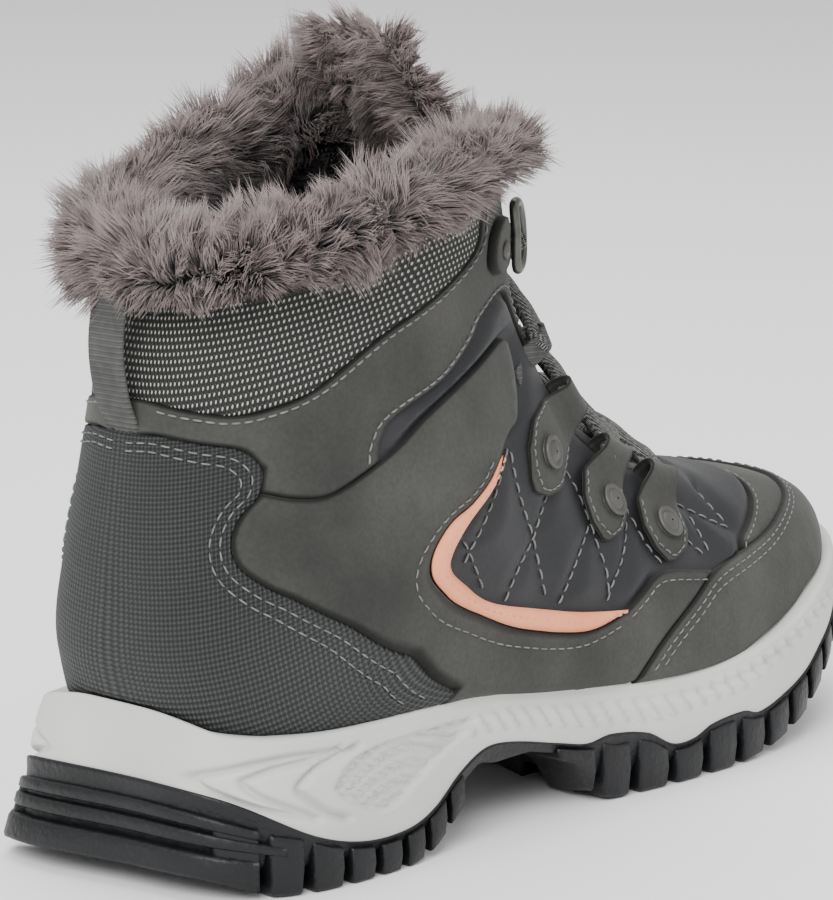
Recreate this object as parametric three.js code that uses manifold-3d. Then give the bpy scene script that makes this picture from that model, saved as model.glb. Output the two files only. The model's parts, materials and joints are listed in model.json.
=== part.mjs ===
// Winter walking boot, right foot: lugged outsole, foam midsole, one hollow upper shaped on a last,
// toe cap, heel counter, furred collar roll, tongue, six riveted lace tabs, two webbing lace loops,
// two D-rings, one lace and a heel pull loop.
// Working frame: x = 0 at the back of the heel tread and + to the toe, y + to the wearer's left
// (the inner side of a right foot), z = 0 on the floor. The group is moved at the end so that the
// origin is the centre of the footprint on the floor.
import * as THREE from 'three';
import { mergeVertices } from 'three/addons/utils/BufferGeometryUtils.js';
import Module from 'manifold-3d';

const wasm = await Module();
wasm.setup();

// ------------------------------------------------------------------ driving sizes, millimetres
const GAP = 0.3; // air between neighbouring pieces
const WALL = 2.6; // leather, foam and backing of the upper pressed together
const RIM = 4.5; // width of the midsole lip round the upper
const LIP_DEPTH = 7; // how deep the upper sits in the midsole
const INSOLE = 4; // insole thickness
const LUG = 5.5; // tread depth under the forefoot and heel
const OVERLAY = 1.3; // toe cap and heel counter thickness
const TONGUE = 3; // padded tongue thickness
const LACE_R = 2.2; // round lace radius
const RIVET_R = 4.4; // rivet head radius
const TAB = 1.6; // thickness of lace tabs, loops and ring tabs
const ROLL_OUT = 10; // fur collar roll, half width across

// ------------------------------------------------------------------ tables
const table = (names, rows) => rows.map((row) => Object.fromEntries(names.split(' ').map((n, i) => [n, row[i]])));

// Plan of the midsole lip: distance along the boot, reach to the right and to the left.
const SOLE_PLAN = table('x right left', [
  [4.5, 0, 0],
  [5.5, 16, 16],
  [11.5, 30, 31],
  [29, 40.5, 38.5],
  [56, 43.5, 40],
  [92, 41.5, 37.5],
  [125, 42.5, 38.5],
  [158, 46.5, 45.5],
  [188, 48, 51],
  [214, 45.5, 52],
  [237, 38, 47.5],
  [255, 26, 38.5],
  [266, 11, 27],
  [270.5, -8, 8],
]);

// Heights along the boot: floor side of the tread, top of the rubber, top of the midsole lip.
const TREAD = table('x z', [
  [0, 6.5], [8, 5.5], [22, 0], [62, 0], [70, 2], [80, 9], [90, 17], [110, 17.5], [126, 11], [131, 2],
  [138, 0], [186, 0], [200, 2], [215, 6], [228, 12], [240, 18], [255, 25], [272, 31],
]);
const RUBBER = table('x z', [
  [0, 29], [12, 24], [30, 14], [45, 9.8], [60, 9.6], [70, 12.5], [80, 19], [90, 23], [100, 22.5], [118, 18.5],
  [128, 16.5], [136, 17.5], [149, 15.5], [158, 11], [166, 11], [173, 13.5], [186, 14.4], [193, 12.8],
  [208, 16], [219, 19.4], [229, 24], [240, 28], [255, 33], [272, 36],
]);
const LIP = table('x z', [
  [0, 47], [5, 45], [12, 40], [30, 38.2], [70, 38], [90, 37.5], [115, 34], [145, 30], [170, 28.5],
  [190, 30], [205, 33], [220, 37], [235, 41.5], [250, 45.5], [262, 48.5], [272, 49.5],
]);

// Upper, collar to toe. Each row is one ring: its front or top point, its back or bottom point,
// reach to the right and left, where along the ring it is widest, and how square each half is.
const UPPER_ROWS = table('frontX frontZ backX backZ right left wide squareFront squareBack', [
  [125, 163, 16, 143, 33, 33, 0.5, 2.3, 2.2],
  [128, 150, 12, 128, 33, 33, 0.5, 2.3, 2.2],
  [131, 138, 9, 112, 33, 33, 0.48, 2.2, 2.3],
  [136, 126, 6.5, 93, 34.5, 35, 0.45, 2.1, 2.4],
  [143, 115, 4.5, 72, 38, 38, 0.42, 2.0, 2.6],
  [152, 104, 5, 50, 41, 40, 0.38, 2.0, 2.8],
  [163, 94, 18, 26, 42, 40, 0.33, 2.0, 2.8],
  [175, 86, 60, 18, 43, 42, 0.29, 2.0, 2.6],
  [187, 79, 105, 15, 44, 45, 0.27, 2.0, 2.7],
  [200, 74, 145, 12, 45, 48, 0.27, 2.1, 2.8],
  [214, 69.5, 180, 13, 45, 49, 0.29, 2.2, 3.0],
  [228, 67.5, 208, 16, 42, 47, 0.33, 2.4, 3.0],
  [242, 65, 230, 21, 38, 43, 0.38, 2.5, 3.0],
  [253, 61.5, 246, 28, 31, 37, 0.42, 2.6, 2.6],
  [262, 55.5, 257, 38, 20, 26, 0.48, 2.4, 2.3],
  [266.5, 48, 266, 47, 2, 3, 0.5, 2.0, 2.0],
]);

// How far the last bends toward the big toe.
const BEND = table('x y', [[0, 0], [150, 0], [190, 1], [215, 3], [240, 6], [255, 9], [268, 11], [300, 11]]);

// Edges of the overlays on the upper: t runs collar 0 to toe 1, phi in degrees from the front or top.
const COUNTER_EDGE = table('t phi', [
  [0.15, 139], [0.17, 134], [0.192, 128], [0.212, 129], [0.226, 135], [0.24, 138], [0.258, 136],
  [0.278, 128], [0.3, 117], [0.336, 103], [0.377, 92], [0.4, 90], [0.5, 90],
]);
const TOE_SEAM = table('phi t', [
  [0, 0.84], [16, 0.835], [36, 0.785], [48, 0.722], [54, 0.656], [60, 0.611], [68, 0.591], [79, 0.572],
  [100, 0.565], [120, 0.56],
]);
const THROAT_EDGE = table('t phi', [[-0.2, 30], [0, 30], [0.1, 29], [0.3, 29], [0.5, 25], [0.56, 19], [0.6, 11]]);
const TONGUE_EDGE = table('t phi', [
  [-0.16, 20], [-0.12, 25], [-0.02, 27], [0.03, 29], [0.1, 38], [0.2, 42], [0.4, 44], [0.64, 36],
]);

// Lace stations down each side of the throat.
const TABS = table('t low wide', [[0.318, 55, 0.036], [0.432, 52.5, 0.03], [0.525, 54, 0.026]]);
const LOOP_T = 0.238;
const RING_T = 0.09;
const EDGE_PHI = 31; // inner edge of tabs, loops and ring tabs
const LACE_PHI = 33; // where the lace turns
const TOP_PHI = 23; // where it turns at the D-rings

const FACET = 0.09; // flattening allowed when small faces are joined
const STEPS = 26; // rings of the upper from collar to toe
const AROUND = 26; // points round each ring

// ------------------------------------------------------------------ small tools
const rad = (degrees) => (degrees * Math.PI) / 180;
const clamp = (v, a, b) => Math.min(b, Math.max(a, v));

// Smooth curve through the rows of a table, u counted in rows.
function rowAt(rows, u) {
  const n = rows.length;
  const i = clamp(Math.floor(u), 0, n - 2);
  const f = u - i;
  const out = {};
  for (const key of Object.keys(rows[0])) {
    const b = rows[i][key];
    const c = rows[i + 1][key];
    const a = i > 0 ? rows[i - 1][key] : 2 * b - c;
    const d = i < n - 2 ? rows[i + 2][key] : 2 * c - b;
    out[key] = 0.5 * (2 * b + (c - a) * f + (2 * a - 5 * b + 4 * c - d) * f * f + (3 * b - a - 3 * c + d) * f * f * f);
  }
  return out;
}

// Value of a two-column table at a given first column, smooth between rows.
function lookup(rows, key, value, x) {
  const n = rows.length;
  let i = rows.findIndex((r) => r[key] > x) - 1;
  if (i < 0) i = x < rows[0][key] ? 0 : n - 2;
  const slope = (k) => {
    const a = rows[clamp(k - 1, 0, n - 1)];
    const b = rows[clamp(k + 1, 0, n - 1)];
    return (b[value] - a[value]) / (b[key] - a[key]);
  };
  const h = rows[i + 1][key] - rows[i][key];
  const f = clamp((x - rows[i][key]) / h, 0, 1);
  const a = rows[i][value];
  const b = rows[i + 1][value];
  const f2 = f * f;
  const f3 = f2 * f;
  return (2 * f3 - 3 * f2 + 1) * a + (f3 - 2 * f2 + f) * h * slope(i) + (3 * f2 - 2 * f3) * b + (f3 - f2) * h * slope(i + 1);
}
const height = (rows, x) => (rows === TREAD ? straight(rows, x) : lookup(rows, 'x', 'z', x));

// The tread has flat facets, so its height runs straight from row to row.
function straight(rows, x) {
  const i = clamp(rows.findIndex((r) => r.x > x) - 1, 0, rows.length - 2);
  const f = clamp((x - rows[i].x) / (rows[i + 1].x - rows[i].x), 0, 1);
  return rows[i].z + (rows[i + 1].z - rows[i].z) * f;
}

// Closed solid from a list of rings, each a closed loop with the same number of points.
function ringSolid(rings) {
  const m = rings[0].length;
  const points = rings.flat();
  const index = [];
  for (let i = 0; i < rings.length - 1; i += 1) {
    for (let j = 0; j < m; j += 1) {
      const a = i * m + j;
      const b = i * m + ((j + 1) % m);
      index.push(a, b, b + m, a, b + m, a + m);
    }
  }
  for (const end of [0, rings.length - 1]) {
    const centre = new THREE.Vector3();
    rings[end].forEach((p) => centre.addScaledVector(p, 1 / m));
    points.push(centre);
    for (let j = 0; j < m; j += 1) {
      const a = end * m + j;
      const b = end * m + ((j + 1) % m);
      if (end === 0) index.push(points.length - 1, b, a);
      else index.push(points.length - 1, a, b);
    }
  }
  return outward(points, index);
}

// Closed sheet of even thickness from a grid of lower and upper points.
function sheetSolid(lower, upper) {
  const rows = lower.length;
  const cols = lower[0].length;
  const points = [...lower.flat(), ...upper.flat()];
  const k = rows * cols;
  const index = [];
  const quad = (a, b, c, d) => index.push(a, b, c, a, c, d);
  for (let i = 0; i < rows - 1; i += 1) {
    for (let j = 0; j < cols - 1; j += 1) {
      const a = i * cols + j;
      quad(a, a + 1, a + cols + 1, a + cols);
      quad(a + k, a + cols + k, a + cols + 1 + k, a + 1 + k);
    }
  }
  for (let j = 0; j < cols - 1; j += 1) {
    const e = (rows - 1) * cols + j;
    quad(j, j + k, j + 1 + k, j + 1);
    quad(e, e + 1, e + 1 + k, e + k);
  }
  for (let i = 0; i < rows - 1; i += 1) {
    const a = i * cols;
    const e = i * cols + cols - 1;
    quad(a, a + cols, a + cols + k, a + k);
    quad(e, e + k, e + cols + k, e + cols);
  }
  return outward(points, index);
}

// Geometry with its faces turned outward.
function outward(points, index) {
  let volume = 0;
  for (let i = 0; i < index.length; i += 3) {
    const [a, b, c] = [points[index[i]], points[index[i + 1]], points[index[i + 2]]];
    volume += a.dot(new THREE.Vector3().crossVectors(b, c));
  }
  if (volume < 0) index.reverse();
  const geometry = new THREE.BufferGeometry();
  geometry.setAttribute('position', new THREE.Float32BufferAttribute(points.flatMap((p) => p.toArray()), 3));
  geometry.setIndex(index);
  return geometry;
}

function solid(geometry) {
  const g = geometry.clone();
  g.deleteAttribute('normal');
  g.deleteAttribute('uv');
  const m = mergeVertices(g, 1e-4);
  return new wasm.Manifold(
    new wasm.Mesh({
      numProp: 3,
      vertProperties: new Float32Array(m.attributes.position.array),
      triVerts: new Uint32Array(m.index.array),
    }),
  );
}

// Faces of a manifold, with edges that bend the surface less than FACET left out.
function geometryOf(manifold) {
  const mesh = manifold.simplify(FACET).getMesh();
  const g = new THREE.BufferGeometry();
  g.setAttribute('position', new THREE.Float32BufferAttribute(mesh.vertProperties, 3));
  g.setIndex(Array.from(mesh.triVerts));
  return g;
}

// The largest connected body of a boolean result, free of loose slivers.
function mainBody(manifold) {
  const parts = manifold.decompose();
  return parts.reduce((best, part) => (part.volume() > best.volume() ? part : best), parts[0]);
}

// ------------------------------------------------------------------ sole forms
const HEEL_X = SOLE_PLAN[0].x;
const TOE_X = SOLE_PLAN.at(-1).x;
const HALF_LENGTH = (TOE_X - HEEL_X) / 2;
const MEAN_HALF_WIDTH = 45;

// Point of the sole outline: s from heel 0 to toe 1, side -1 right or 1 left, moved in by inset.
// The rows before the heel and after the toe are mirrored, which rounds both ends.
function soleEdge(s, side, inset = 0) {
  const n = SOLE_PLAN.length;
  const u = s * (n - 1);
  const i = clamp(Math.floor(u), 0, n - 2);
  const f = u - i;
  const row = (k) => {
    if (k < 0) return [SOLE_PLAN[-k].x, -signed(SOLE_PLAN[-k], side)];
    if (k > n - 1) {
      const r = SOLE_PLAN[2 * (n - 1) - k];
      return [r.x, 2 * signed(SOLE_PLAN[n - 1], side) - signed(r, side)];
    }
    return [SOLE_PLAN[k].x, signed(SOLE_PLAN[k], side)];
  };
  const [a, b, c, d] = [row(i - 1), row(i), row(i + 1), row(i + 2)];
  const mix = (k) =>
    0.5 * (2 * b[k] + (c[k] - a[k]) * f + (2 * a[k] - 5 * b[k] + 4 * c[k] - d[k]) * f * f + (3 * b[k] - a[k] - 3 * c[k] + d[k]) * f * f * f);
  const middleX = HEEL_X + HALF_LENGTH;
  const x = middleX + (mix(0) - middleX) * (1 - inset / HALF_LENGTH);
  const centre = soleCentre(x);
  return [x, centre + (mix(1) - centre) * (1 - inset / MEAN_HALF_WIDTH)];
}
const signed = (row, side) => (side < 0 ? -row.right : row.left);
const soleCentre = (x) => 8 * clamp((x - 120) / 150, 0, 1) ** 1.5;

// The heel spreads toward the floor, most at its inner rear corner, but never past the rear block.
function heelFlare(p) {
  const low = clamp((47 - p.z) / 45, 0, 1) ** 1.15;
  const ease = (v) => clamp(v, 0, 1) ** 2 * (3 - 2 * clamp(v, 0, 1));
  const reach = clamp(Math.hypot((p.x - 40) / 36, p.y / 40), 0, 1) ** 2;
  const spread = 8 * low * ease((46 - p.x) / 40) * ease((p.y + 12) / 40) * reach;
  p.x = Math.max(Math.min(p.x, 1), p.x - spread);
  p.y += spread;
  return p;
}

// Block with the plan of the sole. Each level gives its inset and its height along x; the loop of a
// station climbs the left side, crosses over the top and comes down the right side.
function soleBlock(levels, stations = 40, across = 5) {
  const rings = [];
  for (let i = 0; i <= stations; i += 1) {
    const s = clamp(0.5 - 0.5 * Math.cos((Math.PI * (i + 0.35)) / (stations + 0.7)), 0, 1);
    const at = (level, side, k = 1) => {
      const edge = soleEdge(s, side, level.inset);
      const other = soleEdge(s, -side, level.inset);
      const x = edge[0];
      const y = other[1] + (edge[1] - other[1]) * (0.5 + k / 2);
      return heelFlare(new THREE.Vector3(x, y, level.z(x)));
    };
    const ring = [];
    const bottom = levels[0];
    const top = levels.at(-1);
    for (let j = 0; j < across; j += 1) ring.push(at(bottom, 1, -1 + (2 * j) / across));
    levels.forEach((level) => ring.push(at(level, 1)));
    for (let j = 1; j < across; j += 1) ring.push(at(top, 1, 1 - (2 * j) / across));
    [...levels].reverse().slice(0, -1).forEach((level) => ring.push(at(level, -1)));
    rings.push(ring);
  }
  return ringSolid(rings);
}

const along = (rows, add = 0) => (x) => height(rows, x) + add;
const flat = (z) => () => z;

// ------------------------------------------------------------------ upper form
// Point on the last's skin: t collar 0 to toe 1, phi in radians from the front or top round the left.
function lastPoint(t, phi) {
  if (t < 0) {
    const rim = lastPoint(0, phi);
    return rim.add(rim.clone().sub(lastPoint(0.02, phi)).multiplyScalar(-t / 0.02));
  }
  const r = rowAt(UPPER_ROWS, t * (UPPER_ROWS.length - 1));
  const c = Math.cos(phi);
  const s = Math.sin(phi);
  const power = 2 / (c > 0 ? r.squareFront : r.squareBack);
  const cc = Math.sign(c) * Math.abs(c) ** power;
  const ss = Math.sign(s) * Math.abs(s) ** power;
  const k = r.wide + (cc > 0 ? 1 - r.wide : r.wide) * cc;
  const x = r.backX + (r.frontX - r.backX) * k;
  const z = r.backZ + (r.frontZ - r.backZ) * k;
  return new THREE.Vector3(x, (ss > 0 ? r.left : r.right) * ss + lookup(BEND, 'x', 'y', x), z);
}

function lastNormal(t, phi) {
  const h = 0.004;
  const a = lastPoint(t + h, phi).sub(lastPoint(t - h, phi));
  const b = lastPoint(t, phi + 0.03).sub(lastPoint(t, phi - 0.03));
  return a.cross(b).normalize();
}

// Point a given distance outside the last's skin.
const skin = (t, phi, out = 0) => lastPoint(t, phi).addScaledVector(lastNormal(t, phi), out);

// The whole last grown by out, as a filled form, between two of its STEPS rings. Every form shares
// the same rings and columns, so two of them cut from each other leave a sheet of even thickness.
function lastSolid(out, first = 0, last = STEPS) {
  const rings = [];
  for (let i = first; i <= last; i += 1) {
    rings.push(Array.from({ length: AROUND }, (_, j) => skin(i / STEPS, (2 * Math.PI * j) / AROUND, out)));
  }
  return solid(ringSolid(rings));
}

// Thick cutter along the skin; place(u, v) gives [t, phi in degrees] of its corners.
function patch(place, inner, outer, rows, cols) {
  const layer = (out) =>
    Array.from({ length: rows + 1 }, (_, i) =>
      Array.from({ length: cols + 1 }, (_, j) => {
        const [t, phi] = place(i / rows, j / cols);
        return skin(t, rad(phi), out);
      }),
    );
  return solid(sheetSolid(layer(inner), layer(outer)));
}

// Overlay lying on the upper: the sheet between two grown forms, kept inside a thick cutter.
function overlay(place, thickness, rows, cols) {
  const sheet = lastSolid(GAP + thickness).subtract(lastSolid(GAP, -1));
  return geometryOf(mainBody(sheet.intersect(patch(place, -3, 6, rows, cols)).subtract(solePocket)));
}

// ------------------------------------------------------------------ pieces
const rubberBody = solid(
  soleBlock([
    { inset: 5, z: along(TREAD) },
    { inset: 1.6, z: (x) => 0.45 * height(TREAD, x) + 0.55 * height(RUBBER, x) },
    { inset: 1.6, z: along(RUBBER, -GAP) },
  ], 44),
);

// Rubber left between the lugs: everything above the tread floor, and the square block at the back.
function outsole() {
  const floorOfTread = new THREE.Shape();
  const steps = 60;
  const treadFloor = (x) => {
    const depth = LUG * clamp((x - 14) / 4, 0, 1) * clamp(Math.abs(x - 104) / 22 - 0.35, 0, 1);
    return Math.min(height(TREAD, x) + depth, height(RUBBER, x) - 3.2);
  };
  floorOfTread.moveTo(-10, treadFloor(0));
  for (let i = 0; i <= steps; i += 1) floorOfTread.lineTo((280 * i) / steps, treadFloor((280 * i) / steps));
  floorOfTread.lineTo(290, 80);
  floorOfTread.lineTo(-10, 80);
  const web = new THREE.ExtrudeGeometry(floorOfTread, { depth: 140, bevelEnabled: false });
  web.rotateX(Math.PI / 2);
  web.translate(0, 70, 0);
  let keep = solid(web);
  const lugs = [];
  const block = (corners) => {
    const shape = new THREE.Shape(corners.map(([x, y]) => new THREE.Vector2(x, y)));
    lugs.push(solid(new THREE.ExtrudeGeometry(shape, { depth: 60, bevelEnabled: false }).translate(0, 0, -10)));
  };
  // side lugs: first and last x, and how far they reach toward the middle
  const sideLugs = table('from to reach', [
    [16, 25, 0.45], [29, 37, 0.5], [41, 49, 0.42], [53, 61, 0.5], [65, 74, 0.42],
    [134, 143, 0.45], [148, 157, 0.55], [162, 171, 0.42], [176, 185, 0.55], [190, 199, 0.42],
    [204, 213, 0.5], [218, 227, 0.4], [232, 241, 0.45],
  ]);
  for (const lug of sideLugs) {
    for (const side of [-1, 1]) {
      const middle = soleCentre(lug.from);
      const reach = side * 50 * (1 - lug.reach);
      block([
        [lug.from, side * 70],
        [lug.to, side * 70],
        [lug.to + 3, middle + reach],
        [lug.from + 3, middle + reach],
      ]);
    }
  }
  // middle lugs: small chevrons
  for (const x of [30, 48, 146, 166, 186, 206, 226]) {
    const y = soleCentre(x);
    block([[x, y - 13], [x + 7, y - 13], [x + 12, y], [x + 7, y + 13], [x, y + 13], [x + 5, y]]);
  }
  block([[247, -40], [290, -40], [290, 60], [247, 60]]);
  keep = wasm.Manifold.union([keep, ...lugs]);
  // square block at the back of the heel
  const back = new THREE.Shape();
  back.moveTo(0, height(TREAD, 0));
  back.lineTo(13, 3.5);
  back.lineTo(15, 20);
  back.lineTo(3.4, 27.5);
  back.lineTo(2.4, 18);
  const heelBlock = new THREE.ExtrudeGeometry(back, { depth: 62, bevelEnabled: false });
  heelBlock.rotateX(Math.PI / 2);
  heelBlock.translate(0, 31, 0);
  const underMidsole = solid(
    soleBlock([
      { inset: -14, z: flat(-20) },
      { inset: -14, z: along(RUBBER, -GAP) },
    ]),
  );
  const body = rubberBody.intersect(keep).add(solid(heelBlock).intersect(underMidsole));
  return geometryOf(mainBody(body));
}

const recess = solid(
  soleBlock([
    { inset: RIM, z: along(LIP, -LIP_DEPTH) },
    { inset: RIM, z: along(LIP, 30) },
  ]),
);

function midsole() {
  const foam = solid(
    soleBlock([
      { inset: 0.4, z: along(RUBBER) },
      { inset: 0, z: (x) => 0.65 * height(RUBBER, x) + 0.35 * height(LIP, x) },
      { inset: 0, z: along(LIP, -2.5) },
      { inset: 0.8, z: along(LIP) },
    ], 44),
  );
  return geometryOf(mainBody(foam.subtract(recess)));
}

// Everything the upper may not enter: midsole with its air gap, and all that lies below its bed.
const solePocket = solid(
  soleBlock([
    { inset: -12, z: flat(-40) },
    { inset: -12, z: along(LIP, GAP) },
  ]),
).subtract(
  solid(
    soleBlock([
      { inset: RIM + GAP, z: along(LIP, -LIP_DEPTH + GAP) },
      { inset: RIM + GAP, z: along(LIP, 30) },
    ]),
  ),
);

const throatCut = patch((u, v) => {
  const t = -0.03 + 0.63 * u;
  return [t, (2 * v - 1) * lookup(THROAT_EDGE, 't', 'phi', t)];
}, -9, 9, 20, 4);

function upper() {
  const shell = lastSolid(0).subtract(lastSolid(-WALL, -2, STEPS - 1));
  return geometryOf(mainBody(shell.subtract(solePocket).subtract(throatCut)));
}

function insole() {
  const board = solid(
    soleBlock([
      { inset: RIM + 1, z: along(LIP, -LIP_DEPTH + GAP) },
      { inset: RIM + 1, z: along(LIP, -LIP_DEPTH + GAP + INSOLE) },
    ]),
  );
  return geometryOf(mainBody(board.intersect(lastSolid(-WALL - GAP, 0, STEPS - 1))));
}

function tongue() {
  const sheet = lastSolid(-WALL - GAP, -5).subtract(lastSolid(-WALL - GAP - TONGUE, -6));
  const cut = patch((u, v) => {
    const t = -0.16 + 0.8 * u;
    return [t, (2 * v - 1) * lookup(TONGUE_EDGE, 't', 'phi', t)];
  }, -WALL - TONGUE - 3, 2, 14, 6);
  return geometryOf(mainBody(sheet.intersect(cut)));
}

function heelCounter() {
  return overlay((u, v) => {
    const t = 0.15 + 0.33 * u;
    const edge = lookup(COUNTER_EDGE, 't', 'phi', t);
    return [t, edge + (360 - 2 * edge) * v];
  }, OVERLAY, 14, 12);
}

// The toe cap is what remains of the overlay sheet in front of its U-shaped seam.
function toeCap() {
  const sheet = lastSolid(GAP + OVERLAY).subtract(lastSolid(GAP, -1));
  const behind = patch((u, v) => {
    const phi = -150 + 300 * v;
    return [0.3 + (lookup(TOE_SEAM, 'phi', 't', Math.abs(phi)) - 0.3) * u, phi];
  }, -3, 6, 4, 24);
  return geometryOf(mainBody(sheet.subtract(solePocket).subtract(behind).trimByPlane([1, 0, 0], 120)));
}

// How far the fur stands above the collar rim: more on the inner side of the leg and toward the front.
const ROLL_TOP = table('phi z', [[38, 18], [60, 26], [90, 24], [120, 20], [150, 18], [180, 16], [240, 16], [322, 17]]);
const ROLL_UNDER = 0.6; // gap between the rim and the roll

// Thick roll standing on the collar, open at the front.
function furCollar() {
  const first = 38;
  const steps = 24;
  const rings = [];
  for (let i = 0; i <= steps; i += 1) {
    const phi = first + ((360 - 2 * first) * i) / steps;
    const rim = lastPoint(0, rad(phi));
    const flatOut = lastNormal(0.01, rad(phi)).setZ(0).normalize();
    const end = Math.min(1, Math.sin(Math.PI * (i / steps)) * 4 + 0.45);
    const tall = (lookup(ROLL_TOP, 'phi', 'z', phi) - ROLL_UNDER) / 2;
    const up = tall * end;
    const centre = rim.clone().add(new THREE.Vector3(0, 0, tall + ROLL_UNDER + 0.6));
    rings.push(
      Array.from({ length: 10 }, (_, j) => {
        const a = (2 * Math.PI * j) / 10;
        const p = centre.clone().addScaledVector(flatOut, ROLL_OUT * end * Math.cos(a) - 1);
        return p.setZ(p.z + up * Math.sin(a));
      }),
    );
  }
  return ringSolid(rings);
}

// Round bar through a list of points, open or closed on itself.
function bar(points, radius, sides = 8, closed = false) {
  const n = points.length;
  let side = new THREE.Vector3(0.3, 0.2, 1);
  const rings = points.map((p, i) => {
    const before = closed ? points[(i + n - 1) % n] : points[Math.max(i - 1, 0)];
    const after = closed ? points[(i + 1) % n] : points[Math.min(i + 1, n - 1)];
    const along3 = after.clone().sub(before).normalize();
    side = side.clone().addScaledVector(along3, -side.dot(along3)).normalize();
    const other = new THREE.Vector3().crossVectors(along3, side);
    return Array.from({ length: sides }, (_, j) => {
      const a = (2 * Math.PI * j) / sides;
      return p.clone().addScaledVector(side, radius * Math.cos(a)).addScaledVector(other, radius * Math.sin(a));
    });
  });
  if (!closed) return ringSolid(rings);
  const flatPoints = rings.flat();
  const index = [];
  for (let i = 0; i < n; i += 1) {
    for (let j = 0; j < sides; j += 1) {
      const a = i * sides + j;
      const b = i * sides + ((j + 1) % sides);
      const c = ((i + 1) % n) * sides + ((j + 1) % sides);
      const d = ((i + 1) % n) * sides + j;
      index.push(a, b, c, a, c, d);
    }
  }
  return outward(flatPoints, index);
}

// Lace: a bottom bar, crossings up the throat and a top bar, joined where they meet.
function lace() {
  const stations = [TABS[2].t, TABS[1].t, TABS[0].t, LOOP_T, RING_T + 0.02];
  const reach = [LACE_PHI, LACE_PHI, LACE_PHI, LACE_PHI, TOP_PHI];
  const strands = [];
  const strand = (t0, phi0, t1, phi1) => {
    const points = Array.from({ length: 6 }, (_, i) => {
      const k = i / 5;
      const lift = 4.7 - 2.2 * Math.sin(Math.PI * k);
      return skin(t0 + (t1 - t0) * k, rad(phi0 + (phi1 - phi0) * k), lift);
    });
    strands.push(solid(bar(points, LACE_R, 6)));
  };
  strand(stations[0], -LACE_PHI, stations[0], LACE_PHI);
  for (let i = 0; i < stations.length - 1; i += 1) {
    strand(stations[i], -reach[i], stations[i + 1], reach[i + 1]);
    strand(stations[i], reach[i], stations[i + 1], -reach[i + 1]);
  }
  strand(stations.at(-1), -TOP_PHI, stations.at(-1), TOP_PHI);
  return geometryOf(mainBody(wasm.Manifold.union(strands)));
}

// Leather tab from the throat edge down the side, narrower and rounded at its lower end.
function laceTab(tab, side) {
  return overlay((u, v) => {
    const round = Math.sqrt(Math.max(0, 1 - Math.max(0, (u - 0.6) / 0.4) ** 2)) * 0.7 + 0.3;
    const middle = tab.t + 0.028 * u;
    return [middle + tab.wide * round * (v - 0.5), side * (EDGE_PHI + (tab.low - EDGE_PHI) * u)];
  }, TAB, 6, 2);
}

function onSkin(t, phi, out, geometry) {
  const n = lastNormal(t, phi);
  const turn = new THREE.Quaternion().setFromUnitVectors(new THREE.Vector3(0, 1, 0), n);
  const p = skin(t, phi, out);
  return geometry.applyQuaternion(turn).translate(p.x, p.y, p.z);
}

function rivet(tab, side) {
  const middle = EDGE_PHI + (tab.low - EDGE_PHI) * 0.62;
  const head = new THREE.LatheGeometry(
    [[0, 0], [RIVET_R, 0], [RIVET_R, 0.6], [RIVET_R * 0.75, 1.2], [0, 1.4]].map(([x, y]) => new THREE.Vector2(x, y)),
    12,
  );
  return onSkin(tab.t + 0.028 * 0.62, rad(side * middle), GAP + TAB + GAP + 0.3, head);
}

// Webbing lace loop: a flat strap patch beside the throat.
function laceLoop(side) {
  return overlay((u, v) => [LOOP_T + 0.02 * u + 0.03 * (v - 0.5), side * (EDGE_PHI + 15 * u)], TAB, 5, 3);
}

// Leather tab that carries the D-ring beside the collar.
function ringTab(side) {
  return overlay((u, v) => [RING_T + 0.045 * (v - 0.5), side * (42 + 11 * u)], TAB, 5, 4);
}

function dRing(side) {
  const at = (a, b) => skin(RING_T + b / 200, rad(side * (37 + a)), 4.4);
  const outline = [
    [2.2, -6], [2.2, -2], [2.2, 2], [2.2, 6], [0, 7.5], [-3.2, 7], [-5.6, 4], [-6.4, 0], [-5.6, -4], [-3.2, -7], [0, -7.5],
  ];
  return bar(outline.map(([a, b]) => at(a, b)), 1.25, 8, true);
}

// Pull loop: a strap of webbing standing off the back of the boot.
function pullLoop() {
  const thick = 1.7;
  const outerSide = [[8.2, 108.5], [5.0, 116], [3.2, 128], [5.0, 139], [10.0, 144.4], [14.6, 143.6]];
  const shape = new THREE.Shape();
  const curve = new THREE.CatmullRomCurve3(outerSide.map(([x, z]) => new THREE.Vector3(x, z, 0)));
  const points = curve.getPoints(16);
  const inner = points.map((p, i) => {
    const a = points[Math.max(i - 1, 0)];
    const b = points[Math.min(i + 1, points.length - 1)];
    const d = b.clone().sub(a).normalize();
    return new THREE.Vector2(p.x + d.y * thick, p.y - d.x * thick);
  });
  shape.setFromPoints([...points.map((p) => new THREE.Vector2(p.x, p.y)), ...inner.reverse()]);
  const strap = new THREE.ExtrudeGeometry(shape, { depth: 11, bevelEnabled: false });
  strap.rotateX(Math.PI / 2);
  strap.translate(0, 5.5, 0);
  const body = solid(strap).subtract(lastSolid(GAP + OVERLAY + GAP, -1, 14));
  return geometryOf(mainBody(body));
}

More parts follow.
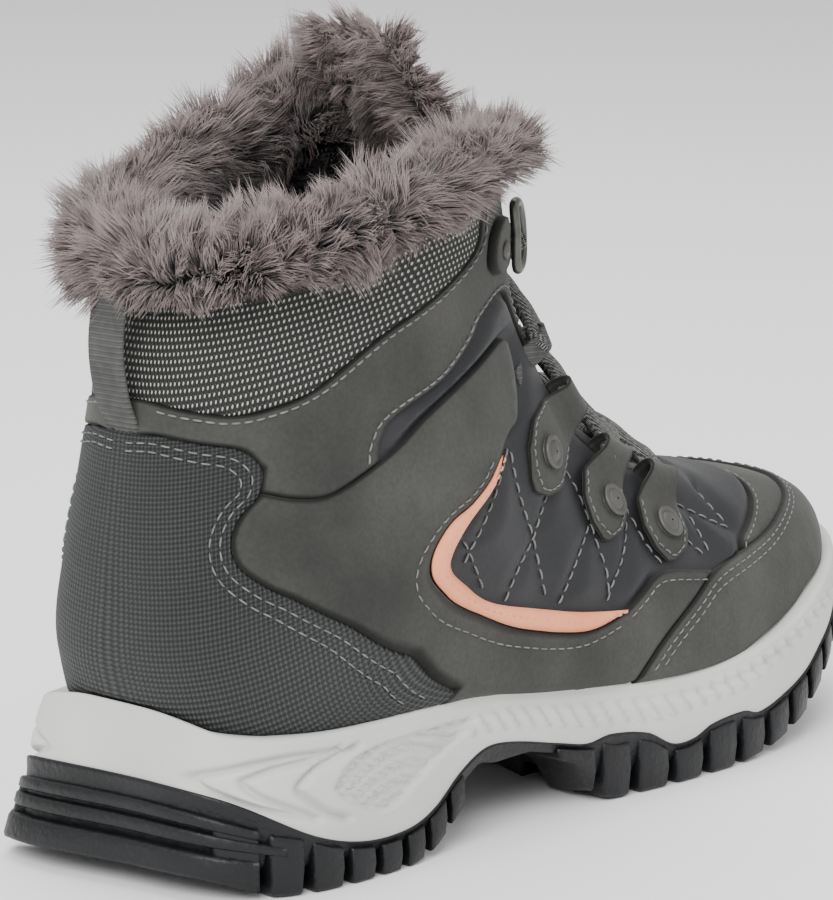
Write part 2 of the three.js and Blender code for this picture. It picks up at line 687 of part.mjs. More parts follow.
// ------------------------------------------------------------------ assembly
const boot = new THREE.Group();
boot.name = 'snow_boot';
const looks = {
  rubber: new THREE.MeshStandardMaterial({ name: 'outsole_rubber', color: 0x17191b, roughness: 0.7 }),
  foam: new THREE.MeshStandardMaterial({ name: 'midsole_foam', color: 0xc9c6c0, roughness: 0.8 }),
  leather: new THREE.MeshStandardMaterial({ name: 'nubuck', color: 0x4f4f4c, roughness: 0.9 }),
  guard: new THREE.MeshStandardMaterial({ name: 'guard_fabric', color: 0x3c3e3e, roughness: 0.8 }),
  fur: new THREE.MeshStandardMaterial({ name: 'fur', color: 0x7a6c69, roughness: 1 }),
  webbing: new THREE.MeshStandardMaterial({ name: 'webbing', color: 0x55565a, roughness: 0.9 }),
  metal: new THREE.MeshStandardMaterial({ name: 'dull_metal', color: 0x6b6a66, roughness: 0.5, metalness: 0.8 }),
};
function add(name, geometry, look) {
  const clean = geometry.clone();
  clean.deleteAttribute('normal');
  clean.deleteAttribute('uv');
  const merged = mergeVertices(clean, 1e-4);
  merged.computeVertexNormals();
  const mesh = new THREE.Mesh(merged, looks[look]);
  mesh.name = name;
  boot.add(mesh);
}

add('outsole', outsole(), 'rubber');
add('midsole', midsole(), 'foam');
add('insole', insole(), 'webbing');
add('upper', upper(), 'leather');
add('tongue', tongue(), 'leather');
add('heel_counter', heelCounter(), 'guard');
add('toe_cap', toeCap(), 'leather');
add('fur_collar', furCollar(), 'fur');
add('pull_loop', pullLoop(), 'webbing');
add('lace', lace(), 'webbing');
for (const [letter, side] of [['right', -1], ['left', 1]]) {
  TABS.forEach((tab, i) => {
    add(`lace_tab_${letter}_${i + 1}`, laceTab(tab, side), 'leather');
    add(`rivet_${letter}_${i + 1}`, rivet(tab, side), 'metal');
  });
  add(`lace_loop_${letter}`, laceLoop(side), 'webbing');
  add(`ring_tab_${letter}`, ringTab(side), 'leather');
  add(`d_ring_${letter}`, dRing(side), 'metal');
}

// origin: centre of the footprint on the floor
const box = new THREE.Box3().setFromObject(boot);
const shift = new THREE.Vector3((box.min.x + box.max.x) / 2, (box.min.y + box.max.y) / 2, box.min.z);
boot.children.forEach((mesh) => mesh.geometry.translate(-shift.x, -shift.y, -shift.z));

export default boot;
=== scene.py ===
# %% [markdown]
# # A furred winter walking boot
# The frame holds the plain solids that give every piece its size and place. This lesson dresses
# them: each cell makes one piece or one finish of a right-foot boot. Sizes are in millimetres in a
# working frame whose x starts at the back of the heel tread and runs to the toe, with y to the
# wearer's left and z up from the floor.

# %% Load the frame
import json
import math
import bpy
import numpy as np
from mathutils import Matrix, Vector
from mathutils.geometry import delaunay_2d_cdt
from mathutils.kdtree import KDTree

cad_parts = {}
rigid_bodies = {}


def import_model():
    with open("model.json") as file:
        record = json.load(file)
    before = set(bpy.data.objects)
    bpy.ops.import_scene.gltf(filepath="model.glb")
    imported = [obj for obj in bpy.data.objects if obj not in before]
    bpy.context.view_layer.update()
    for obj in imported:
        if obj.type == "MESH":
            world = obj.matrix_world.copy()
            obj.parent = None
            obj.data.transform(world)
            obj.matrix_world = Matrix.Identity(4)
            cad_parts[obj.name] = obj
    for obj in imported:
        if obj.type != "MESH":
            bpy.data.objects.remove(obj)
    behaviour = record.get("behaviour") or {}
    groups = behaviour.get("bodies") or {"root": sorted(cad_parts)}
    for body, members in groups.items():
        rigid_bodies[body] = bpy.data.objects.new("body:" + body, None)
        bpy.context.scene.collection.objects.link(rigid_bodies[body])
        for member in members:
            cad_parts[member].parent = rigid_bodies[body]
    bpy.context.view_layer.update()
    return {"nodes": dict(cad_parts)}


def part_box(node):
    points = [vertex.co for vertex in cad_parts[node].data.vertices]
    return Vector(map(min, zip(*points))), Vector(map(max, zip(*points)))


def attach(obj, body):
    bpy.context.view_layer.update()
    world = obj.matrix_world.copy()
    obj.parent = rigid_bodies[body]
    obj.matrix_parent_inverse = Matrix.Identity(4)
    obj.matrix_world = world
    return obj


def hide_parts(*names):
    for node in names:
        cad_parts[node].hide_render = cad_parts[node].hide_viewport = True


for thing in list(bpy.data.objects):
    bpy.data.objects.remove(thing)
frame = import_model()
print("frame pieces:", len(frame["nodes"]))

# %% [markdown]
# ## The last, as a table
# A shoe is built round a last, a foot-shaped block. Here the last is a bent tube. Each row of the
# table is one ring round the foot: its front or top point, its back or bottom point, how far it
# reaches to the right and left, where it is widest and how square each half is. A smooth curve runs
# from row to row, so a dozen or so rows hold the whole shape, and the same rows made the solids.

# %% Tables of the last and the sole
UPPER_ROWS = np.array([
    # front x, z, back x, z, right, left, widest, square front, square back
    (125, 163, 16, 143, 33, 33, 0.50, 2.3, 2.2),
    (128, 150, 12, 128, 33, 33, 0.50, 2.3, 2.2),
    (131, 138, 9, 112, 33, 33, 0.48, 2.2, 2.3),
    (136, 126, 6.5, 93, 34.5, 35, 0.45, 2.1, 2.4),
    (143, 115, 4.5, 72, 38, 38, 0.42, 2.0, 2.6),
    (152, 104, 5, 50, 41, 40, 0.38, 2.0, 2.8),
    (163, 94, 18, 26, 42, 40, 0.33, 2.0, 2.8),
    (175, 86, 60, 18, 43, 42, 0.29, 2.0, 2.6),
    (187, 79, 105, 15, 44, 45, 0.27, 2.0, 2.7),
    (200, 74, 145, 12, 45, 48, 0.27, 2.1, 2.8),
    (214, 69.5, 180, 13, 45, 49, 0.29, 2.2, 3.0),
    (228, 67.5, 208, 16, 42, 47, 0.33, 2.4, 3.0),
    (242, 65, 230, 21, 38, 43, 0.38, 2.5, 3.0),
    (253, 61.5, 246, 28, 31, 37, 0.42, 2.6, 2.6),
    (262, 55.5, 257, 38, 20, 26, 0.48, 2.4, 2.3),
    (266.5, 48, 266, 47, 2, 3, 0.50, 2.0, 2.0),
])
BEND = np.array([(0, 0), (150, 0), (190, 1), (215, 3), (240, 6), (255, 9), (268, 11), (300, 11)])
SOLE_PLAN = np.array([
    # x, reach to the right, reach to the left
    (4.5, 0, 0), (5.5, 16, 16), (11.5, 30, 31), (29, 40.5, 38.5), (56, 43.5, 40), (92, 41.5, 37.5),
    (125, 42.5, 38.5), (158, 46.5, 45.5), (188, 48, 51), (214, 45.5, 52), (237, 38, 47.5),
    (255, 26, 38.5), (266, 11, 27), (270.5, -8, 8),
])
RUBBER_TOP = np.array([
    (0, 29), (12, 24), (30, 14), (45, 9.8), (60, 9.6), (70, 12.5), (80, 19), (90, 23), (100, 22.5),
    (118, 18.5), (128, 16.5), (136, 17.5), (149, 15.5), (158, 11), (166, 11), (173, 13.5), (186, 14.4),
    (193, 12.8), (208, 16), (219, 19.4), (229, 24), (240, 28), (255, 33), (272, 36),
])
LIP_TOP = np.array([
    (0, 47), (5, 45), (12, 40), (30, 38.2), (70, 38), (90, 37.5), (115, 34), (145, 30), (170, 28.5),
    (190, 30), (205, 33), (220, 37), (235, 41.5), (250, 45.5), (262, 48.5), (272, 49.5),
])
TREAD = np.array([
    (0, 6.5), (8, 5.5), (22, 0), (62, 0), (70, 2), (80, 9), (90, 17), (110, 17.5), (126, 11), (131, 2),
    (138, 0), (186, 0), (200, 2), (215, 6), (228, 12), (240, 18), (255, 25), (272, 31),
])
print("rings in the last:", len(UPPER_ROWS))

# %% [markdown]
# Two ways of reading a table: as one smooth curve through its rows, counted in rows, and as a height
# for a given distance along the boot. Both work on whole arrays at once, which keeps dense meshes
# quick to make.

# %% Reading the tables
def ease(x):
    x = np.clip(x, 0, 1)
    return x * x * (3 - 2 * x)


def smooth_rows(rows, u):
    n = len(rows)
    u = np.asarray(u, float)
    i = np.clip(np.floor(u).astype(int), 0, n - 2)
    f = (u - i)[..., None]
    b, c = rows[i], rows[i + 1]
    a = np.where((i > 0)[..., None], rows[np.maximum(i - 1, 0)], 2 * b - c)
    d = np.where((i < n - 2)[..., None], rows[np.minimum(i + 2, n - 1)], 2 * c - b)
    return 0.5 * (2 * b + (c - a) * f + (2 * a - 5 * b + 4 * c - d) * f**2 + (3 * b - a - 3 * c + d) * f**3)


def look_up(table, x):
    x = np.asarray(x, float)
    keys, values = table[:, 0], table[:, 1]
    n = len(table)
    i = np.clip(np.searchsorted(keys, x, side="right") - 1, 0, n - 2)
    slopes = (values[np.minimum(np.arange(n) + 1, n - 1)] - values[np.maximum(np.arange(n) - 1, 0)]) / (
        keys[np.minimum(np.arange(n) + 1, n - 1)] - keys[np.maximum(np.arange(n) - 1, 0)])
    h = keys[i + 1] - keys[i]
    f = np.clip((x - keys[i]) / h, 0, 1)
    return ((2 * f**3 - 3 * f**2 + 1) * values[i] + (f**3 - 2 * f**2 + f) * h * slopes[i]
            + (3 * f**2 - 2 * f**3) * values[i + 1] + (f**3 - f**2) * h * slopes[i + 1])


def smooth_line(points, count):
    rows = np.array(points, float)
    return smooth_rows(rows, np.linspace(0, len(rows) - 1, count))


# %% The last as a function
def last_point(t, phi):
    """Point of the last: t from collar 0 to toe 1, phi in degrees from the front or top round the left."""
    t, phi = np.broadcast_arrays(np.asarray(t, float), np.radians(phi))
    inside = np.maximum(t, 0)
    r = smooth_rows(UPPER_ROWS, inside * (len(UPPER_ROWS) - 1))
    fx, fz, bx, bz, right, left, wide, sq_f, sq_b = [r[..., k] for k in range(9)]
    c, s = np.cos(phi), np.sin(phi)
    power = 2 / np.where(c > 0, sq_f, sq_b)
    cc = np.sign(c) * np.abs(c) ** power
    ss = np.sign(s) * np.abs(s) ** power
    k = wide + np.where(cc > 0, 1 - wide, wide) * cc
    x = bx + (fx - bx) * k
    z = bz + (fz - bz) * k
    y = np.where(ss > 0, left, right) * ss + look_up(BEND, x)
    p = np.stack([x, y, z], -1)
    over = t < 0
    if over.any():
        rise = (last_point(np.zeros(over.sum()), np.degrees(phi[over]))
                - last_point(np.full(over.sum(), 0.02), np.degrees(phi[over]))) / 0.02
        p[over] += rise * -t[over][:, None]
    return p


def last_normal(t, phi):
    h = 0.004
    along = last_point(t + h, phi) - last_point(t - h, phi)
    across = last_point(t, phi + 1.5) - last_point(t, phi - 1.5)
    n = np.cross(along, across)
    return n / np.linalg.norm(n, axis=-1, keepdims=True)


def skin(t, phi, out=0.0):
    t, phi = np.broadcast_arrays(np.asarray(t, float), np.asarray(phi, float))
    return last_point(t, phi) + last_normal(t, phi) * np.asarray(out, float)[..., None]


def tuck(points, t, phi, depth=4.5):
    """Pulls points inward where they pass the midsole's lip, so that the upper goes down inside it."""
    points = np.asarray(points, float).copy()
    out = last_normal(t, phi)
    out[..., 2] = 0
    out /= np.linalg.norm(out, axis=-1, keepdims=True) + 1e-9
    below = (look_up(LIP_TOP, points[..., 0]) + 0.7 - points[..., 2]) / 3.2
    k = np.clip(below, 0, 1)
    points -= out * (k * k * (3 - 2 * k) * depth)[..., None]
    return points


print("collar front:", last_point(0.0, 0.0).round(1), "toe:", last_point(1.0, 0.0).round(1))

# %% [markdown]
# The frame's origin is the centre of the footprint, so every point moves by one fixed step. Its part
# along the boot is measured from the frame itself, where the heel tread starts at x = 0; its sideways
# part is given, and the middle of the midsole, halfway between its two sides, is printed beside it.

# %% From working millimetres to the frame
low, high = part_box("outsole")
sole_low, sole_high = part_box("midsole")
STEP = np.array([-low.x * 1000, 2.1, 0.0])
print("step to the frame, mm:", STEP.round(2))
print("midsole middle y, mm:", round((sole_low.y + sole_high.y) * 500, 2))


def to_frame(points):
    return (np.asarray(points, float) - STEP) / 1000


def build(name, points, faces, material, nodes=(), fill=None, lay=None):
    """Mesh piece in the frame from points in working millimetres; it rides on the boot's one body.
    lay holds each point's place on the flat pattern and its distance from the cut edge."""
    mesh = bpy.data.meshes.new(name)
    mesh.from_pydata(to_frame(points).tolist(), [], [list(map(int, f)) for f in faces])
    mesh.update()
    if lay is not None:
        pattern = mesh.attributes.new("lay", "FLOAT_VECTOR", "POINT")
        pattern.data.foreach_set("vector", np.asarray(lay, float).ravel())
    mesh.polygons.foreach_set("use_smooth", [True] * len(mesh.polygons))
    piece = bpy.data.objects.new(name, mesh)
    bpy.context.scene.collection.objects.link(piece)
    mesh.materials.append(material)
    if nodes:
        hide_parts(*nodes)
    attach(piece, "root")
    print(f"{name}: {len(mesh.polygons)} faces")
    return piece


def grid_faces(rows, cols, wrap=False, start=0):
    i, j = np.meshgrid(np.arange(rows - 1), np.arange(cols if wrap else cols - 1), indexing="ij")
    a = start + i * cols + j
    b = start + i * cols + (j + 1) % cols
    return np.stack([a, b, b + cols, a + cols], -1).reshape(-1, 4)


def join(parts):
    """One point array and one face list from several (points, faces) pairs."""
    points, faces, start = [], [], 0
    for p, f in parts:
        p = np.asarray(p, float).reshape(-1, 3)
        points.append(p)
        faces += [[int(v) + start for v in face] for face in f]
        start += len(p)
    return np.concatenate(points), faces


def closed_sheet(lower, upper):
    """Closed sheet between two grids of points of the same shape (rows, columns, 3)."""
    rows, cols = lower.shape[:2]
    k = rows * cols
    top = grid_faces(rows, cols, start=k)
    bottom = grid_faces(rows, cols)[:, ::-1]
    right_side, left_side = np.arange(1, rows) * cols + cols - 1, np.arange(rows - 2, 0, -1) * cols
    far_end = (rows - 1) * cols + np.arange(cols - 2, -1, -1)
    ring = np.concatenate([np.arange(cols), right_side, far_end, left_side])
    nxt = np.roll(ring, -1)
    side = np.stack([ring, nxt, nxt + k, ring + k], -1)
    return np.concatenate([lower.reshape(-1, 3), upper.reshape(-1, 3)]), [*bottom, *top, *side]


def turned_out(points, faces):
    """The same closed shape with its faces turned outward."""
    p = np.asarray(points, float)
    volume = 0.0
    for f in faces:
        a = p[f[0]]
        for k in range(1, len(f) - 1):
            volume += float(np.dot(a, np.cross(p[f[k]], p[f[k + 1]])))
    return (p, [list(f)[::-1] for f in faces]) if volume < 0 else (p, faces)


def round_bar(path, radius, sides=10, closed=False):
    """Round bar along a path; radius is one number or one per point."""
    path = np.asarray(path, float)
    n = len(path)
    radius = np.broadcast_to(radius, n)
    ahead = np.roll(path, -1, 0) - np.roll(path, 1, 0)
    if not closed:
        ahead[0], ahead[-1] = path[1] - path[0], path[-1] - path[-2]
    ahead /= np.linalg.norm(ahead, axis=1)[:, None]
    side = np.array([0.3, 0.2, 1.0])
    rings = []
    angles = np.linspace(0, 2 * np.pi, sides, endpoint=False)
    for p, a, r in zip(path, ahead, radius):
        side = side - a * side.dot(a)
        side /= np.linalg.norm(side)
        other = np.cross(a, side)
        rings.append(p + r * (np.cos(angles)[:, None] * side + np.sin(angles)[:, None] * other))
    points = np.concatenate(rings)
    if closed:
        faces = [[i * sides + j, i * sides + (j + 1) % sides, ((i + 1) % n) * sides + (j + 1) % sides,
                  ((i + 1) % n) * sides + j] for i in range(n) for j in range(sides)]
        return turned_out(points, faces)
    faces = [*grid_faces(n, sides, wrap=True), list(range(sides))[::-1],
             [(n - 1) * sides + j for j in range(sides)]]
    return turned_out(points, faces)


def waves(p, size, seed, octaves=3):
    """Soft unevenness between about -1 and 1, made of a few crossing waves with a set seed."""
    rng = np.random.default_rng(seed)
    total = np.zeros(p.shape[:-1])
    for octave in range(octaves):
        scale = size / 1.9**octave
        for _ in range(5):
            d = rng.normal(size=3)
            d /= np.linalg.norm(d)
            total += np.sin((p @ d) * 2 * np.pi / scale + rng.uniform(0, 6.3)) / 5 / 1.7**octave
    return total


# %% [markdown]
# ## Finishes
# Each finish is a node material. Colour comes from two or three tones mixed by noise, and the feel of
# the surface from a bump. Numbers that are the same all over, such as sheen, sit on the shader itself.

# %% Finish helpers
def tone(rgb):
    """Linear colour from an 8-bit screen colour."""
    v = np.array(rgb) / 255
    lin = np.where(v <= 0.04045, v / 12.92, ((v + 0.055) / 1.055) ** 2.4)
    return (*lin.tolist(), 1.0)


def grey(value):
    """Factor that darkens (below 1) or lightens (above 1) all three colours alike."""
    return (value, value, value, 1)


class Finish:
    """A node material with short words for the nodes used here."""

    def __init__(self, name, roughness=0.8):
        self.material = bpy.data.materials.new(name)
        self.material.use_nodes = True
        self.tree = self.material.node_tree
        self.shader = self.tree.nodes["Principled BSDF"]
        self.shader.inputs["Roughness"].default_value = roughness
        self.place = self.tree.nodes.new("ShaderNodeTexCoord").outputs["Object"]

    def pattern(self):
        """Place on the flat pattern: x along the boot, y round it, z in from the cut edge, millimetres."""
        n = self.tree.nodes.new("ShaderNodeAttribute")
        n.attribute_name = "lay"
        split = self.tree.nodes.new("ShaderNodeSeparateXYZ")
        self.link(n.outputs["Vector"], split.inputs[0])
        return split.outputs

    def link(self, a, b):
        self.tree.links.new(a, b)

    def axes(self):
        """The three coordinates of the place on the piece, in metres."""
        split = self.tree.nodes.new("ShaderNodeSeparateXYZ")
        self.link(self.place, split.inputs[0])
        return split.outputs

    def noise(self, scale, detail=3.0, rough=0.5, where=None):
        n = self.tree.nodes.new("ShaderNodeTexNoise")
        n.inputs["Scale"].default_value = scale
        n.inputs["Detail"].default_value = detail
        n.inputs["Roughness"].default_value = rough
        self.link(where or self.place, n.inputs["Vector"])
        return n.outputs["Fac"]

    def ramp(self, fac, stops):
        n = self.tree.nodes.new("ShaderNodeValToRGB")
        while len(n.color_ramp.elements) < len(stops):
            n.color_ramp.elements.new(0.5)
        for e, (position, colour) in zip(n.color_ramp.elements, stops):
            e.position = position
            e.color = colour
        self.link(fac, n.inputs["Fac"])
        return n.outputs["Color"]

    def mix(self, fac, a, b, kind="MIX"):
        n = self.tree.nodes.new("ShaderNodeMix")
        n.data_type = "RGBA"
        n.blend_type = kind
        for socket, value in ((n.inputs["Factor"], fac), (n.inputs[6], a), (n.inputs[7], b)):
            if hasattr(value, "node"):
                self.link(value, socket)
            else:
                socket.default_value = value
        return n.outputs[2]

    def sum(self, operation, a, b=0.0):
        n = self.tree.nodes.new("ShaderNodeMath")
        n.operation = operation
        for socket, value in ((n.inputs[0], a), (n.inputs[1], b)):
            if hasattr(value, "node"):
                self.link(value, socket)
            else:
                socket.default_value = value
        return n.outputs[0]

    def colour(self, socket):
        self.link(socket, self.shader.inputs["Base Color"])

    def roughness(self, fac, low, high):
        n = self.tree.nodes.new("ShaderNodeMapRange")
        self.link(fac, n.inputs["Value"])
        n.inputs["To Min"].default_value = low
        n.inputs["To Max"].default_value = high
        self.link(n.outputs[0], self.shader.inputs["Roughness"])

    def bump(self, height, distance, strength=1.0):
        n = self.tree.nodes.new("ShaderNodeBump")
        n.inputs["Distance"].default_value = distance
        n.inputs["Strength"].default_value = strength
        self.link(height, n.inputs["Height"])
        last = self.shader.inputs["Normal"]
        if last.is_linked:
            self.link(last.links[0].from_socket, n.inputs["Normal"])
        self.link(n.outputs["Normal"], last)


def spread(finish, seed_scale, low, high, **kind):
    """Two tones mixed by a soft noise."""
    return finish.ramp(finish.noise(seed_scale, **kind), [(0.3, tone(low)), (0.7, tone(high))])


# %% [markdown]
# Nubuck is leather sanded on its grain side. Its nap is short and dull, with cloudy patches where it
# has been brushed one way or another, so two noises of different sizes shift its colour and a fine
# one gives the nap.

# %% Nubuck
def nubuck(name, dark, light, nap=1500.0):
    f = Finish(name, 0.9)
    f.shader.inputs["Sheen Weight"].default_value = 0.12
    f.shader.inputs["Sheen Roughness"].default_value = 0.5
    f.shader.inputs["Sheen Tint"].default_value = (0.8, 0.8, 0.76, 1)
    f.shader.inputs["Specular IOR Level"].default_value = 0.25
    cloud = spread(f, 28.0, dark, light, detail=4.0)
    grain = f.ramp(f.noise(900.0, detail=2.0), [(0.3, grey(0.86)), (0.72, grey(1.1))])
    # Near a panel's edge the colour darkens to almost black: partly the dark cut edge of the leather, partly
    # painted shadow along the seams.
    from_cut = f.sum("MULTIPLY", f.pattern()[2], 0.7)
    cut = f.ramp(from_cut, [(0.0, grey(0.1)), (0.35, grey(0.28)), (0.8, grey(1))])
    f.colour(f.mix(1.0, f.mix(1.0, cloud, grain, "MULTIPLY"), cut, "MULTIPLY"))
    f.bump(f.noise(nap, detail=3.0), 0.00012, 0.8)
    f.bump(f.noise(160.0, detail=4.0), 0.00035, 0.5)
    return f.material


NUBUCK = nubuck("nubuck_dark_olive_grey", (41, 42, 40), (67, 67, 64))
NUBUCK_TAB = nubuck("nubuck_tab", (50, 50, 48), (64, 64, 61))

# %% [markdown]
# The heel guard and the collar are woven. A weave is two sets of threads, and two waves crossed at a
# right angle give the same little pillows. The guard is rubber coated, so its threads are wide and
# soft; the collar web has light dashes on near-black.

# %% Woven finishes
GUARD_PITCH = 2.4
WEB_ROW, WEB_COLUMN = 2.4, 1.0


def guard_weave(name="rubber_coated_guard"):
    f = Finish(name, 0.62)
    f.shader.inputs["Specular IOR Level"].default_value = 0.4
    along, around = f.pattern()[:2]
    stretched = f.sum("MULTIPLY", around, 1.25)
    one_way, other_way = [
        f.sum("SINE", f.sum("MULTIPLY", f.sum(kind, along, stretched), 2 * math.pi / GUARD_PITCH))
        for kind in ("ADD", "SUBTRACT")]
    knots = f.sum("MULTIPLY", one_way, other_way)
    # The knots also set the colour: painted shade in the hollows of the weave and a painted highlight on its
    # raised crowns.
    f.colour(f.mix(1.0, spread(f, 22.0, (39, 41, 41), (49, 51, 51)),
                   f.ramp(f.sum("ADD", f.sum("MULTIPLY", knots, 0.5), 0.5),
                          [(0.15, grey(0.38)), (0.5, grey(0.92)), (0.9, grey(2.0))]), "MULTIPLY"))
    f.bump(knots, 0.0005, 0.9)
    f.bump(f.noise(700.0), 0.0001, 0.6)
    return f.material


def collar_web(name="collar_web"):
    f = Finish(name, 0.75)
    along, around = f.pattern()[:2]
    row = f.sum("MULTIPLY", along, 2 * math.pi / WEB_ROW)
    half_turn = f.sum("MULTIPLY", f.sum("SIGN", f.sum("SINE", f.sum("MULTIPLY", row, 0.5))), math.pi / 2)
    column = f.sum("ADD", f.sum("MULTIPLY", around, 2 * math.pi / WEB_COLUMN), half_turn)
    dash = f.sum("MULTIPLY", f.sum("ADD", f.sum("MULTIPLY", f.sum("SINE", column), 0.5), 0.5),
                 f.sum("ADD", f.sum("MULTIPLY", f.sum("SINE", row), 0.35), 0.65))
    f.colour(f.ramp(f.sum("ADD", dash, f.sum("MULTIPLY", f.noise(500.0), 0.12)),
                    [(0.40, tone((17, 18, 17))), (0.62, tone((62, 62, 58))), (0.88, tone((176, 176, 165)))]))
    f.bump(dash, 0.0006, 0.9)
    f.bump(f.noise(900.0), 0.0001, 0.5)
    return f.material


GUARD = guard_weave()
WEB = collar_web()

# %% [markdown]
# Quilted nylon is a thin taffeta over wadding. It has a faint blue cast, a soft shine, and small
# wrinkles that run into the stitching.

# %% Nylon, coral film and felt
def nylon(name="quilted_nylon"):
    f = Finish(name, 0.5)
    f.shader.inputs["Sheen Weight"].default_value = 0.03
    f.shader.inputs["Specular IOR Level"].default_value = 0.3
    f.colour(spread(f, 40.0, (27, 28, 30), (39, 39, 42)))
    x, _, z = f.axes()
    fine = f.sum("SINE", f.sum("MULTIPLY", f.sum("ADD", x, f.sum("MULTIPLY", z, 0.3)), 2 * math.pi / 0.0006))
    f.bump(fine, 0.00005, 0.5)
    f.bump(f.noise(120.0, detail=5.0, rough=0.6), 0.0006, 0.55)
    return f.material


def plain(name, low, high, roughness, scale=60.0, nap=900.0, depth=0.0001, specular=0.4):
    f = Finish(name, roughness)
    f.shader.inputs["Specular IOR Level"].default_value = specular
    f.colour(spread(f, scale, low, high))
    f.roughness(f.noise(scale * 2), max(0.05, roughness - 0.08), min(1.0, roughness + 0.08))
    f.bump(f.noise(nap, detail=3.0), depth, 0.8)
    return f.material


NYLON = nylon()
CORAL = plain("coral_piping", (238, 146, 104), (248, 162, 122), 0.6)
FELT = plain("insole_felt", (52, 46, 44), (70, 62, 60), 0.95, 80.0, 1400.0, 0.0003, 0.2)
THREAD = plain("stitching_thread", (96, 97, 95), (120, 120, 117), 0.7, 300.0, 2500.0, 0.00008)
CORAL_THREAD = plain("coral_thread", (214, 146, 118), (232, 166, 138), 0.7, 300.0, 2500.0, 0.00008)
METAL = plain("rivet_metal", (72, 71, 68), (90, 89, 85), 0.5, 150.0, 900.0, 0.00006, 0.6)
RING_METAL = plain("ring_metal", (70, 70, 66), (98, 98, 92), 0.38, 150.0, 900.0, 0.00006, 0.7)
METAL.node_tree.nodes["Principled BSDF"].inputs["Metallic"].default_value = 0.6
RING_METAL.node_tree.nodes["Principled BSDF"].inputs["Metallic"].default_value = 0.85

# %% [markdown]
# The midsole is moulded foam, warm light grey and almost smooth. The tread is black rubber, dull on
# its faces.

# %% Foam and rubber
FOAM = plain("midsole_foam", (192, 192, 188), (206, 206, 202), 0.62, 30.0, 1100.0, 0.00008, 0.35)
RUBBER = plain("outsole_rubber", (9, 10, 12), (18, 19, 22), 0.45, 45.0, 620.0, 0.0004, 0.35)

# %% Webbing and lace
def ribbed(name, low, high, pitch, lean=0.0):
    f = Finish(name, 0.85)
    x, _, z = f.axes()
    rib = f.sum("SINE", f.sum("MULTIPLY", f.sum("ADD", z, f.sum("MULTIPLY", x, lean)), 2 * math.pi / pitch))
    # The ribs also set the colour: painted shade in the grooves and painted light on the rib tops.
    f.colour(f.mix(0.85, spread(f, 300.0, low, high),
                   f.ramp(rib, [(0.15, grey(0.8)), (0.85, grey(1.12))]), "MULTIPLY"))
    f.bump(rib, 0.0004, 0.8)
    f.bump(f.noise(1500.0), 0.0001, 0.6)
    return f.material


WEBBING = ribbed("pull_loop_webbing", (66, 66, 65), (82, 82, 80), 0.0013)


def lace_braid(name="lace_braid"):
    f = Finish(name, 0.85)
    x, y, z = f.axes()
    a = f.sum("SINE", f.sum("MULTIPLY", f.sum("ADD", f.sum("ADD", x, z), y), 2 * math.pi / 0.0013))
    b = f.sum("SINE", f.sum("MULTIPLY", f.sum("SUBTRACT", f.sum("SUBTRACT", x, z), y), 2 * math.pi / 0.0013))
    braid = f.sum("MULTIPLY", a, b)
    f.colour(f.ramp(f.sum("ADD", f.sum("MULTIPLY", braid, 0.35), f.noise(1300.0)),
                    [(0.3, tone((42, 42, 41))), (0.5, tone((92, 92, 90))), (0.75, tone((150, 150, 146)))]))
    f.bump(braid, 0.0004, 0.9)
    return f.material


LACE = lace_braid()


# %% [markdown]
# Fur is dark at its roots and pale at its tips. Each hair carries a number that runs from 0 at the
# root to 1 at the tip, and another that says how light the whole hair is: a random tone per lock,
# lowered as painted shade on the collar hairs that face into the boot. The finish turns both into colour.

# %% Fur
def fur_finish(name, root, middle, tip):
    f = Finish(name, 0.75)
    f.shader.inputs["Sheen Weight"].default_value = 0.25
    f.shader.inputs["Specular IOR Level"].default_value = 0.3
    rise = f.tree.nodes.new("ShaderNodeAttribute")
    rise.attribute_name = "hair"
    split = f.tree.nodes.new("ShaderNodeSeparateColor")
    f.link(rise.outputs["Color"], split.inputs[0])
    colour = f.ramp(split.outputs["Red"], [(0.02, tone(root)), (0.45, tone(middle)), (1.0, tone(tip))])
    # Green sets how light the whole hair is; its dark low end is painted shade for collar hairs that face
    # into the boot.
    shade = f.ramp(split.outputs["Green"],
                   [(0.0, (0.16, 0.15, 0.15, 1)), (0.4, (0.82, 0.81, 0.81, 1)), (1.0, (1.22, 1.2, 1.2, 1))])
    f.colour(f.mix(1.0, colour, shade, "MULTIPLY"))
    return f.material


FUR = fur_finish("fur_taupe", (82, 71, 70), (116, 103, 101), (152, 139, 136))
FUR_INSIDE = fur_finish("fur_inside", (14, 12, 12), (32, 28, 28), (58, 52, 51))
FUR_BED = plain("fur_bed", (24, 20, 20), (44, 38, 38), 0.95, 260.0, 500.0, 0.002, 0.2)
print("finishes:", len(bpy.data.materials))

# %% [markdown]
# ## Sole
# The outline of the sole is one table read on both sides. Mirrored rows beyond the heel and the toe
# round the two ends. A ring of points at a given inset and height is then the raw material for the
# midsole, and for the rubber under it.

# %% Rings with the plan of the sole
HEEL_X, TOE_X = SOLE_PLAN[0, 0], SOLE_PLAN[-1, 0]
HALF_LENGTH, HALF_WIDTH = (TOE_X - HEEL_X) / 2, 45.0


def sole_middle(x):
    return 8 * np.clip((np.asarray(x, float) - 120) / 150, 0, 1) ** 1.5


